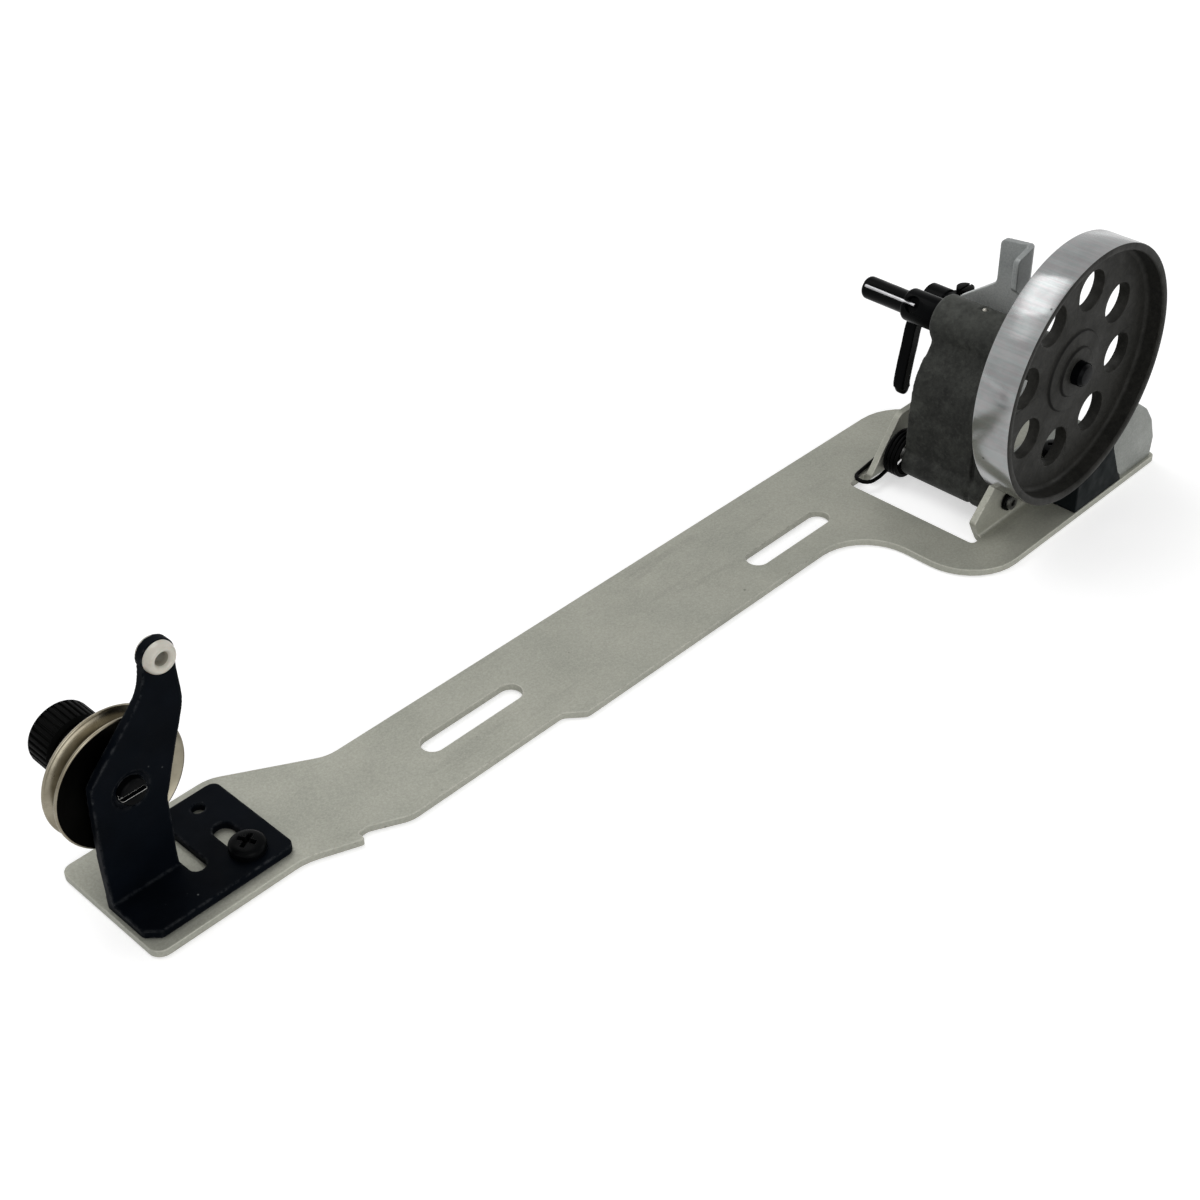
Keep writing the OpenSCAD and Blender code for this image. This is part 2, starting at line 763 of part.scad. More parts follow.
module winder_frame() color([0.22, 0.22, 0.21]) difference() {
    union() {
        // Boss round the spindle, its far edge rounded off
        turned(0, spindle_h, boss_near, [
            [0, 0], [boss_r, 0], [boss_r, boss_far - boss_near - boss_edge],
            [boss_r - boss_edge, boss_far - boss_near], [0, boss_far - boss_near]
        ]);
        // Curved wall and knuckle
        alongY(wall_near, frame_far) wallSection();
        // Near lug behind its groove
        intersection() {
            alongY(frame_near, wall_near - wall_groove) wallSection();
            translate([-2 * hinge_back, frame_near, 0])
                cube([2 * hinge_back, wall_near - frame_near, hinge_h + rise * lug_top_share]);
        }
        intersection() {
            translate([groove_d, 0, 0]) alongY(frame_near, wall_near + groove_d) wallSection();
            translate([-2 * hinge_back, frame_near, hinge_h])
                cube([2 * hinge_back + groove_d, wall_near + groove_d - frame_near, rise * lug_top_share]);
        }
        rod(knuckle_r - groove_d / 2, -hinge_back, hinge_h, frame_near, wall_near + groove_d);
        // Ribs behind the wall
        for (y = [wall_near, frame_far - rib_t])
            alongY(y, y + rib_t) polygon(rounded(wallCorners(rib_shares)));
        // Oil point on top of the boss
        translate([0, oil_y, spindle_h]) cylinder(r = oil_r, h = boss_r + oil_h);
        // Lug that holds the latch shaft
        rod(latch_r + lug_wall, latch_x, latch_z, lug_near, lug_far);
        translate([0, lug_near, latch_z - lug_bottom])
            cube([latch_x, lug_far - lug_near, lug_bottom + lug_top]);
    }
    rod(bush_r + fit_gap, 0, spindle_h, boss_near - overrun, boss_far + overrun);
    rod(hinge_r + run_gap, -hinge_back, hinge_h, frame_near - overrun, frame_far + overrun);
    rod(latch_r + fit_gap, latch_x, latch_z, lug_near - overrun, lug_far + overrun);
    translate([0, oil_y, spindle_h]) cylinder(r = oil_hole_r, h = boss_r + oil_h + overrun);
    // Pocket that holds the return spring's tail
    rod(pocket_r, -hinge_back + spring_r * cos(spring_angle) + pocket_lead,
        hinge_h + spring_r * sin(spring_angle), frame_far - pocket_d, frame_far + overrun);
}

// Bush from y0 towards the boss's middle, its flange at the outer end where side is -1
module bush(y0, side, flanged) {
    profile = flanged
        ? [[shaft_r + run_gap, -flange_t], [flange_r, -flange_t], [flange_r, 0], [bush_r, 0],
            [bush_r, bush_l], [shaft_r + run_gap, bush_l]]
        : [[shaft_r + run_gap, 0], [bush_r, 0], [bush_r, bush_l], [shaft_r + run_gap, bush_l]];
    translate([0, y0, 0]) mirror([0, side, 0]) turned(0, spindle_h, 0, profile);
}

module near_bush() color([0.6, 0.45, 0.25]) bush(boss_near, 0, true);

module far_bush() color([0.6, 0.45, 0.25]) bush(boss_far, 1, false);

// Latch shaft, spring and clip

module latch_shaft() color([0.2, 0.2, 0.2]) difference() {
    union() {
        rod(latch_r, latch_x, latch_z, shaft_near, latch_far + run_gap);
        rod(shaft_head_r, latch_x, latch_z, latch_far + run_gap, latch_far + run_gap + shaft_head_t);
    }
    difference() {
        rod(latch_r + overrun, latch_x, latch_z, lever_ear_near - free_gap - clip_t - 2 * fit_gap,
            lever_ear_near - free_gap);
        rod(latch_r - clip_groove, latch_x, latch_z, shaft_near, lever_ear_near);
    }
}

module shaft_clip() color([0.15, 0.15, 0.15])
    clip(latch_r, latch_x, latch_z, lever_ear_near - free_gap - clip_t - fit_gap);

function latchPath() =
    let (
        axis = [latch_x, 0, latch_z],
        turns = [for (p = coil(latch_spring_r, latch_spring_near, latch_pitch, latch_turns, 0)) axis + p],
        last = turns[len(turns) - 1]
    )
    concat(
        [turns[0] - [0, 0, 2 * latch_tail_l], turns[0] - [0, 0, latch_tail_l]],
        turns,
        [last - [latch_tail_l, 0, 0], last - [2 * latch_tail_l, 0, 0]]
    );

module latch_spring() color([0.12, 0.12, 0.12]) wire(latchPath(), latch_wire_r, [0, 1, 0]);

// Spindle

module spindle() color([0.1, 0.1, 0.1]) difference() {
    turned(0, spindle_h, spindle_near, [
        [0, 0], [shaft_r - shaft_edge, 0], [shaft_r, shaft_edge],
        [shaft_r, boss_far + free_gap - spindle_near],
        [collar_r, boss_far + free_gap - spindle_near],
        [collar_r, collar_far - collar_edge - spindle_near],
        [collar_r - collar_edge, collar_far - spindle_near],
        [pin_r, collar_far - spindle_near],
        [pin_r, pin_far - pin_edge - spindle_near],
        [pin_r - pin_edge, pin_far - spindle_near],
        [0, pin_far - spindle_near]
    ]);
    rod(centre_r, 0, spindle_h, spindle_near - overrun, spindle_near + centre_d);
    translate([0, 0, spindle_h]) rotate([0, groove_turn, 0]) {
        // Groove of the wire spring and the round notch that takes its hooked end
        translate([-groove_w / 2, notch_y, groove_r]) cube([groove_w, pin_far - notch_y + overrun, collar_r]);
        translate([0, notch_y, groove_r]) cylinder(r = notch_r, h = collar_r);
    }
}

module bobbin_spring() color([0.75, 0.75, 0.72]) translate([0, 0, spindle_h]) rotate([0, groove_turn, 0]) {
    rod(wire_r, 0, groove_r + wire_r + fit_gap, notch_y, pin_far - wire_end);
    translate([0, pin_far - wire_end, groove_r + wire_r + fit_gap]) sphere(r = wire_r, $fn = 32);
    translate([0, notch_y, groove_r + wire_r + fit_gap]) sphere(r = wire_r, $fn = 32);
}

// Wheel

module wheel() color([0.55, 0.55, 0.53]) difference() {
    turned(0, spindle_h, wheel_near, [
        [shaft_r + fit_gap, web_face - 2 * hub_step],
        [hub_small_r, web_face - 2 * hub_step],
        [hub_small_r, web_face - hub_step],
        [hub_r, web_face - hub_step],
        [hub_r, web_face],
        [wheel_r - rim_t - web_cove, web_face],
        [wheel_r - rim_t, web_face - web_cove],
        [wheel_r - rim_t, wheel_edge_r],
        [wheel_r - rim_t + wheel_edge_r, 0],
        [wheel_r - wheel_edge_r, 0],
        [wheel_r, wheel_edge_r],
        [wheel_r, wheel_w - wheel_edge_r],
        [wheel_r - wheel_edge_r, wheel_w],
        [wheel_r - rim_t, wheel_w],
        [wheel_r - rim_t, web_face + web_t],
        [hub_back_r, web_face + web_t],
        [hub_back_r, hub_back - wheel_near],
        [shaft_r + fit_gap, hub_back - wheel_near]
    ]);
    for (i = [0:web_holes - 1])
        translate([0, wheel_near, spindle_h]) rotate([0, -hole_turn - 360 * i / web_holes, 0])
            rod(web_hole_r, wheel_r * hole_circle_share, 0, 0, wheel_w);
    translate([0, grub_y, spindle_h])
        cylinder(r = grub_r + fit_gap, h = hub_back_r + overrun);
}

module wheel_screw() color([0.12, 0.12, 0.12])
    translate([0, grub_y, spindle_h + shaft_r + fit_gap]) difference() {
        cylinder(r = grub_r, h = grub_l);
        translate([0, 0, grub_l - grub_key_d]) cylinder(r = grub_key_r, h = grub_key_d + overrun, $fn = 6);
    }

// Trip latch

function fingerPath() =
    smooth([for (s = finger_shares) [latch_x + s[0] * finger_reach, latch_z + s[1] * finger_l]], 6);

module trip_latch() color([0.07, 0.07, 0.07]) difference() {
    union() {
        rod(latch_r + hub_wall, latch_x, latch_z, latch_hub_near, latch_far);
        rod(latch_r + hub_wall + head_step, latch_x, latch_z, latch_far - head_l, latch_far);
        alongY(latch_far - finger_t, latch_far) {
            polygon(strip(fingerPath(), finger_w));
            translate(fingerPath()[len(fingerPath()) - 1]) circle(r = finger_w / 2, $fn = 48);
        }
        translate([latch_x - latch_r, latch_lug_y, latch_z])
            cube([latch_lug_x + latch_r, latch_lug_w, latch_lug_h]);
    }
    rod(latch_r + run_gap, latch_x, latch_z, latch_hub_near - overrun, latch_far + overrun);
    translate([adjust_x, adjust_y, latch_z - adjust_l])
        cylinder(r = adjust_r + fit_gap, h = 2 * adjust_l + latch_lug_h);
}

module adjusting_screw() color([0.14, 0.14, 0.14])
    translate([adjust_x, adjust_y, latch_z + latch_lug_h]) difference() {
        union() {
            translate([0, 0, -adjust_l]) cylinder(r = adjust_r, h = adjust_l + adjust_head_h / 2);
            translate([0, 0, free_gap]) cylinder(r = adjust_head_r, h = adjust_head_h);
        }
        translate([-adjust_head_r - overrun, -adjust_slot_w / 2, free_gap + adjust_head_h - adjust_slot_d])
            cube([2 * (adjust_head_r + overrun), adjust_slot_w, adjust_slot_d + overrun]);
    }

// Thumb lever

function leverEarCorners(z_top) = [
    [lever_x, z_top, 0],
    [lever_x, latch_z - latch_r - lever_ear_wall, lever_edge_r],
    [latch_x, latch_z - latch_r - lever_ear_wall, 0],
    [latch_x, latch_z + latch_r + lever_ear_wall, 0],
    [lever_x + 2 * lever_t, z_top, lever_edge_r]
];

module thumb_lever() color([0.52, 0.55, 0.52]) {
    web_bottom = spindle_h + lever_bottom;
    tab_top = spindle_h + tab_h;
    // Upright sheet behind the boss, with the thumb tab above it
    alongX(lever_x, lever_x + lever_t) polygon(rounded([
        [lever_near - lever_t / 2, web_bottom, 0],
        [lever_far, web_bottom, 0],
        [lever_far, spindle_h + lever_side_z, lever_edge_r],
        [tab_far, spindle_h + tab_root, lever_root_r],
        [tab_far, tab_top - tab_drop, tab_r],
        [lever_near - lever_t / 2, tab_top, 0]
    ]));
    // Near side of the tab, bent towards the belt
    alongY(lever_near - lever_t, lever_near) polygon(rounded([
        [lever_x + lever_t, spindle_h + flange_root, tab_r],
        [lever_x + lever_t, tab_top, 0],
        [lever_x, tab_top, tab_r],
        [lever_x - flange_reach, tab_top - flange_drop, tab_r],
        [lever_x - flange_reach, spindle_h + flange_foot, tab_r]
    ]));
    // Two ears on the latch shaft, the near one drawn down into a tail
    for (y = [lever_ear_near, lever_far - lever_t])
        difference() {
            union() {
                alongY(y, y + lever_t) polygon(rounded(leverEarCorners(web_bottom + lever_t)));
                rod(latch_r + lever_ear_wall, latch_x, latch_z, y, y + lever_t);
                if (y == lever_ear_near)
                    alongY(y, y + lever_t) polygon(rounded([
                        [latch_x + latch_r + lever_ear_wall, latch_z, 0],
                        [latch_x - latch_r, latch_z, 0],
                        [lever_tail_x - lever_tail_w / 2, lever_tail_z, tab_r],
                        [lever_tail_x + lever_tail_w / 2, lever_tail_z, tab_r]
                    ]));
            }
            rod(latch_r + run_gap, latch_x, latch_z, y - overrun, y + lever_t + overrun);
        }
}

// Thread tension

function armPath(shares) =
    smooth([for (s = shares) [arm_w * s[0] - stud_x, foot_top + (eyelet_h - foot_top) * s[1]]], 4);

function armOutline() = concat(
    armPath(arm_right_shares),
    [for (a = [0:arc_step:180]) [arm_top_r * cos(a) - eyelet_x, eyelet_h + arm_top_r * sin(a)]],
    armPath(arm_left_shares)
);

module tension_bracket() color([0.06, 0.07, 0.09]) {
    difference() {
        translate([0, 0, plate_t + fit_gap]) linear_extrude(arm_t) polygon(rounded([
            [-foot_left, foot_near + foot_chamfer, foot_edge_r],
            [foot_chamfer - foot_left, foot_near, foot_edge_r],
            [-foot_right, foot_near, foot_r],
            [-foot_right, foot_far, foot_r],
            [-relief_right, foot_far, foot_r],
            [-relief_right, relief_near, 0],
            [-relief_left, relief_near, 0],
            [-relief_left, arm_far, 0],
            [-foot_left, arm_far, 0]
        ]));
        translate([-(relief_left + relief_right) / 2, relief_near, plate_t])
            cylinder(d = relief_left - relief_right, h = arm_t + overrun);
        slot([-arm_slot_x, arm_slot_near + arm_slot_w / 2], [-arm_slot_x, arm_slot_far - arm_slot_w / 2],
            arm_slot_w, plate_t, foot_top + overrun);
        translate([-small_hole_x, small_hole_y, plate_t]) cylinder(r = small_hole_r, h = arm_t + overrun);
    }
    difference() {
        alongY(arm_near, arm_far) polygon(armOutline());
        rod(stud_r + fit_gap, -stud_x, stud_h, arm_near - overrun, arm_far + overrun);
        rod(stud_head_r, -stud_x, stud_h, arm_near - overrun, arm_near + stud_head_d);
        rod(eyelet_neck_r + fit_gap, -eyelet_x, eyelet_h, arm_near - overrun, arm_far + overrun);
    }
}

module thread_eyelet() color([0.93, 0.92, 0.9])
    turned(-eyelet_x, eyelet_h, arm_near - eyelet_lip, [
        [eyelet_bore_r + eyelet_lip / 2, 0],
        [eyelet_r - eyelet_lip / 2, 0],
        [eyelet_r, eyelet_lip / 2],
        [eyelet_r, eyelet_lip],
        [eyelet_neck_r, eyelet_lip],
        [eyelet_neck_r, eyelet_lip + arm_t],
        [eyelet_r, eyelet_lip + arm_t],
        [eyelet_r, eyelet_lip + arm_t + eyelet_back / 2],
        [eyelet_r - eyelet_back / 2, eyelet_lip + arm_t + eyelet_back],
        [eyelet_bore_r + eyelet_back / 2, eyelet_lip + arm_t + eyelet_back],
        [eyelet_bore_r, eyelet_lip + arm_t + eyelet_back / 2],
        [eyelet_bore_r, eyelet_lip / 2]
    ]);

module tension_stud() color([0.12, 0.12, 0.13]) difference() {
    union() {
        rod(stud_r, -stud_x, stud_h, arm_near - stud_proud, nut_y + nut_l + stud_over);
        rod(stud_seat_r, -stud_x, stud_h, arm_far, near_disc_back - run_gap);
    }
    translate([-stud_x - stud_r - overrun, arm_near - stud_proud - overrun, stud_h - stud_slot_w / 2])
        cube([2 * (stud_r + overrun), stud_slot_d + overrun, stud_slot_w]);
    translate([-stud_x - stud_slot_w / 2, nut_y + nut_l - stud_slot_d, stud_h - stud_r - overrun])
        cube([stud_slot_w, stud_slot_d + stud_over + overrun, 2 * (stud_r + overrun)]);
}

// Profile of a tension disc, with the other disc on its minus side
function discProfile() = [
    [stud_r + run_gap, disc_gap],
    [disc_flat_r, disc_gap],
    [disc_dish_r, disc_gap + disc_dish],
    [disc_r - disc_t, disc_gap + disc_rise],
    [disc_r, disc_gap + disc_rise],
    [disc_r, disc_gap + disc_rise + disc_t],
    [disc_r - 2 * disc_t, disc_gap + disc_rise + disc_t],
    [disc_dish_r - disc_t, disc_gap + disc_dish + disc_t],
    [disc_flat_r - disc_t, disc_gap + disc_t],
    [stud_r + run_gap, disc_gap + disc_t]
];

module near_disc() color([0.66, 0.62, 0.55])
    translate([0, disc_plane, 0]) mirror([0, 1, 0]) turned(-stud_x, stud_h, 0, discProfile());

module far_disc() color([0.66, 0.62, 0.55]) turned(-stud_x, stud_h, disc_plane, discProfile());

module pressure_washer() color([0.2, 0.2, 0.2]) difference() {
    rod(washer_r, -stud_x, stud_h, washer_y, press_y);
    rod(stud_r + run_gap, -stud_x, stud_h, washer_y - overrun, press_y + overrun);
}

function pressPath() =
    let (
        axis = [-stud_x, press_y + disc_gap, stud_h],
        turns = [for (p = coil(press_r, press_lead, press_pitch, press_turns, 0)) axis + p],
        first = turns[0],
        last = turns[len(turns) - 1]
    )
    concat([first - [0, press_lead, 0]], turns, [last + [0, press_lead, 0]]);

module tension_spring() color([0.15, 0.15, 0.15]) wire(pressPath(), press_wire_r, [1, 0, 0]);

module thumb_nut() color([0.07, 0.07, 0.07]) difference() {
    turned(-stud_x, stud_h, nut_y, [
        [stud_r + run_gap, 0],
        [nut_neck_r, 0],
        [nut_neck_r, nut_neck_l],
        [nut_r - nut_edge, nut_neck_l],
        [nut_r, nut_neck_l + nut_edge],
        [nut_r, nut_l - nut_edge],
        [nut_r - nut_edge, nut_l],
        [stud_r + run_gap, nut_l]
    ]);
    for (i = [0:nut_grips - 1])
        translate([-stud_x, 0, stud_h]) rotate([0, 360 * i / nut_grips, 0])
            rod(nut_grip_r, nut_r, 0, nut_y + nut_neck_l - overrun, nut_y + nut_l + overrun, $fn = 16);
}

echo(return_spring_gap = wireGap(springPath(), spring_wire_r));
echo(latch_spring_gap = wireGap(latchPath(), latch_wire_r));
echo(tension_spring_gap = wireGap(pressPath(), press_wire_r));

base_plate();
hinge_pin();
hinge_clip();
return_spring();
brake_bracket();
brake_block();
brake_screw();
bracket_screw();
winder_frame();
near_bush();
far_bush();
latch_shaft();
latch_spring();
shaft_clip();
spindle();
bobbin_spring();
wheel();
wheel_screw();
trip_latch();
adjusting_screw();
thumb_lever();
tension_bracket();
thread_eyelet();
tension_stud();
near_disc();
far_disc();
pressure_washer();
tension_spring();
thumb_nut();
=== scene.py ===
import json
import math

import bpy
from mathutils import Matrix, Vector


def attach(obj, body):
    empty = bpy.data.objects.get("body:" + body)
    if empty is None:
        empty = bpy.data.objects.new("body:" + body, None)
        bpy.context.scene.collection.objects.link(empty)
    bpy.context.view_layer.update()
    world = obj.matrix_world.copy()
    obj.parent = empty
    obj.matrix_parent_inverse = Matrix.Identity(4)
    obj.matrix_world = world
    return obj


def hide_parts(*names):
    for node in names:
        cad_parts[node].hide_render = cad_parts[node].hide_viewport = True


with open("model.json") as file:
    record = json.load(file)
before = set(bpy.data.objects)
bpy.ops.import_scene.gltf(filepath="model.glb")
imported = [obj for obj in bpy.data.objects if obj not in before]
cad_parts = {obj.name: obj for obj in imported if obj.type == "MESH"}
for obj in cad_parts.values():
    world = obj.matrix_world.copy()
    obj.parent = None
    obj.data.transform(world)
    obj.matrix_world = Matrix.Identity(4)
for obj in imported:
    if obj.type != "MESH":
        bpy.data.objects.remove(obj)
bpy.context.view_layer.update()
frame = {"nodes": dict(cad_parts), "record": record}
print("frame loaded")

mm = 0.001
bodyOf = {node: body for body, nodes in frame["record"]["behaviour"]["bodies"].items() for node in nodes}
spindleZ = 42.8 * mm
studX, studZ = -229.6 * mm, 28.7 * mm
weldReach = 0.002 * mm
flatAngle = math.radians(0.6)
pastFace = 1 * mm  # how far a cutter stands past the face that it cuts
turnedAngle, wireAngle, softAngle = 30, 60, 180  # edges steeper than this stay sharp when a piece is shaded
cornerAngle = 40  # edges steeper than this are broken on a turned piece


# small helpers for working as by hand

def pickOnly(piece):
    bpy.ops.object.select_all(action="DESELECT")
    piece.select_set(True)
    bpy.context.view_layer.objects.active = piece


def applyModifier(piece, kind, **settings):
    pickOnly(piece)
    modifier = piece.modifiers.new(kind.lower(), kind)
    for name, value in settings.items():
        setattr(modifier, name, value)
    bpy.ops.object.modifier_apply(modifier=modifier.name)


def cleanMesh(piece):
    pickOnly(piece)
    bpy.ops.object.mode_set(mode="EDIT")
    bpy.ops.mesh.select_all(action="SELECT")
    bpy.ops.mesh.remove_doubles(threshold=weldReach)
    bpy.ops.mesh.normals_make_consistent(inside=False)
    bpy.ops.object.mode_set(mode="OBJECT")


def bevelEdges(piece, width, steps=2, angle=32):
    applyModifier(piece, "BEVEL", width=width, segments=steps, limit_method="ANGLE",
                  angle_limit=math.radians(angle), use_clamp_overlap=False)


def finishPiece(piece, node, material, angle=35, flat=False):
    pickOnly(piece)
    bpy.ops.object.shade_smooth_by_angle(angle=math.radians(angle))
    if flat:
        # large faces keep their own normals beside the edge rounds
        applyModifier(piece, "WEIGHTED_NORMAL", weight=100, keep_sharp=True)
    if material:
        piece.data.materials.clear()
        piece.data.materials.append(material)
    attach(piece, bodyOf[node])
    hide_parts(node)
    return piece


def placeMesh(piece):
    pickOnly(piece)
    bpy.ops.object.transform_apply(location=True, rotation=True, scale=True)


def addSolid(operator, **settings):
    # a primitive whose place and size are written into its mesh
    bpy.ops.object.select_all(action="DESELECT")
    operator(**settings)
    piece = bpy.context.object
    placeMesh(piece)
    return piece


def dropPicks(piece, kind):
    # nothing stays selected, and the next picks are edges or faces as kind says
    pickOnly(piece)
    bpy.ops.object.mode_set(mode="EDIT")
    bpy.ops.mesh.select_mode(type=kind)
    bpy.ops.mesh.select_all(action="DESELECT")
    bpy.ops.object.mode_set(mode="OBJECT")


def pickEdges(piece, test):
    # leaves exactly the edges whose two ends pass the test selected, in edit mode
    dropPicks(piece, "EDGE")
    points = piece.data.vertices
    for edge in piece.data.edges:
        edge.select = all(test(points[i].co) for i in edge.vertices)
    bpy.ops.object.mode_set(mode="EDIT")


def softCopy(node, name, edge, steps=2):
    # a welded copy of a CAD node, its triangles joined to flat faces, its edges broken where a width is given
    piece = bpy.data.objects.new(name, frame["nodes"][node].data.copy())
    bpy.context.collection.objects.link(piece)
    pickOnly(piece)
    bpy.ops.mesh.customdata_custom_splitnormals_clear()
    bpy.ops.object.mode_set(mode="EDIT")
    bpy.ops.mesh.select_all(action="SELECT")
    bpy.ops.mesh.remove_doubles(threshold=weldReach)
    bpy.ops.mesh.dissolve_limited(angle_limit=flatAngle)
    bpy.ops.object.mode_set(mode="OBJECT")
    if edge:
        bevelEdges(piece, edge, steps)
    return piece


def softenPiece(piece, voxel, smooth):
    # an even fine mesh, relaxed so that all its edges run soft
    applyModifier(piece, "REMESH", mode="VOXEL", voxel_size=voxel, adaptivity=0)
    applyModifier(piece, "SMOOTH", factor=0.5, iterations=smooth)


def arcPoints(x, y, radius, start, end, steps=6):
    angles = [math.radians(start + (end - start) * i / steps) for i in range(steps + 1)]
    return [(x + radius * math.cos(angle), y + radius * math.sin(angle)) for angle in angles]


def turnedPiece(name, section, axisX, axisZ, sides, closed=True):
    # a ring of points is pulled to the section (radius, place along Y) and spun about the axis
    bpy.ops.object.select_all(action="DESELECT")
    bpy.ops.mesh.primitive_circle_add(vertices=len(section), radius=1 * mm)
    piece = bpy.context.object
    piece.name = name
    for point, (radius, along) in zip(piece.data.vertices, section):
        point.co = (axisX + radius, along, axisZ)
    if not closed:
        last = len(section) - 1
        dropPicks(piece, "EDGE")
        for edge in piece.data.edges:
            edge.select = set(edge.vertices) == {0, last}
        bpy.ops.object.mode_set(mode="EDIT")
        bpy.ops.mesh.delete(type="EDGE")
        bpy.ops.object.mode_set(mode="OBJECT")
    bpy.ops.object.mode_set(mode="EDIT")
    bpy.ops.mesh.select_all(action="SELECT")
    bpy.ops.mesh.spin(steps=sides, angle=2 * math.pi, center=(axisX, 0, axisZ), axis=(0, 1, 0))
    bpy.ops.object.mode_set(mode="OBJECT")
    cleanMesh(piece)
    return piece


def cutWith(piece, cutter, operation="DIFFERENCE"):
    applyModifier(piece, "BOOLEAN", object=cutter, operation=operation, solver="EXACT")
    bpy.data.objects.remove(cutter)


def barAlongY(radius, x, z, yLow, yHigh, sides):
    return addSolid(bpy.ops.mesh.primitive_cylinder_add, vertices=sides, radius=radius, depth=yHigh - yLow,
                    location=(x, (yLow + yHigh) / 2, z), rotation=(math.pi / 2, 0, 0))


def barAlongZ(radius, place, length, sides=48):
    return addSolid(bpy.ops.mesh.primitive_cylinder_add, vertices=sides, radius=radius, depth=length,
                    location=place)


def boxAt(low, high):
    return addSolid(bpy.ops.mesh.primitive_cube_add, size=1,
                    location=[(a + b) / 2 for a, b in zip(low, high)],
                    scale=[b - a for a, b in zip(low, high)])


def joinPieces(pieces):
    pickOnly(pieces[0])
    for piece in pieces[1:]:
        piece.select_set(True)
    bpy.ops.object.join()
    return pieces[0]


def wireTube(name, path, radius):
    curve = bpy.data.curves.new(name, "CURVE")
    curve.dimensions = "3D"
    curve.bevel_depth = radius
    curve.bevel_resolution = 4
    curve.use_fill_caps = True
    spline = curve.splines.new("POLY")
    spline.points.add(len(path) - 1)
    for point, place in zip(spline.points, path):
        point.co = (*place, 1)
    piece = bpy.data.objects.new(name, curve)
    bpy.context.collection.objects.link(piece)
    pickOnly(piece)
    bpy.ops.object.convert(target="MESH")
    piece = bpy.context.object
    cleanMesh(piece)
    return piece


def coilPath(x, z, radius, y0, pitch, turns, start, ringsPerTurn=28):
    count = math.ceil(turns * ringsPerTurn)
    path = []
    for i in range(count + 1):
        turned = turns * i / count
        angle = math.radians(start + 360 * turned)
        path.append(Vector((x + radius * math.cos(angle), y0 + pitch * turned, z + radius * math.sin(angle))))
    return path


# materials

def ranged(tree, value, fromSpan, toSpan):
    node = tree.nodes.new("ShaderNodeMapRange")
    for name, number in zip(("From Min", "From Max", "To Min", "To Max"), (*fromSpan, *toSpan)):
        node.inputs[name].default_value = number
    tree.links.new(value, node.inputs["Value"])
    return node.outputs["Result"]


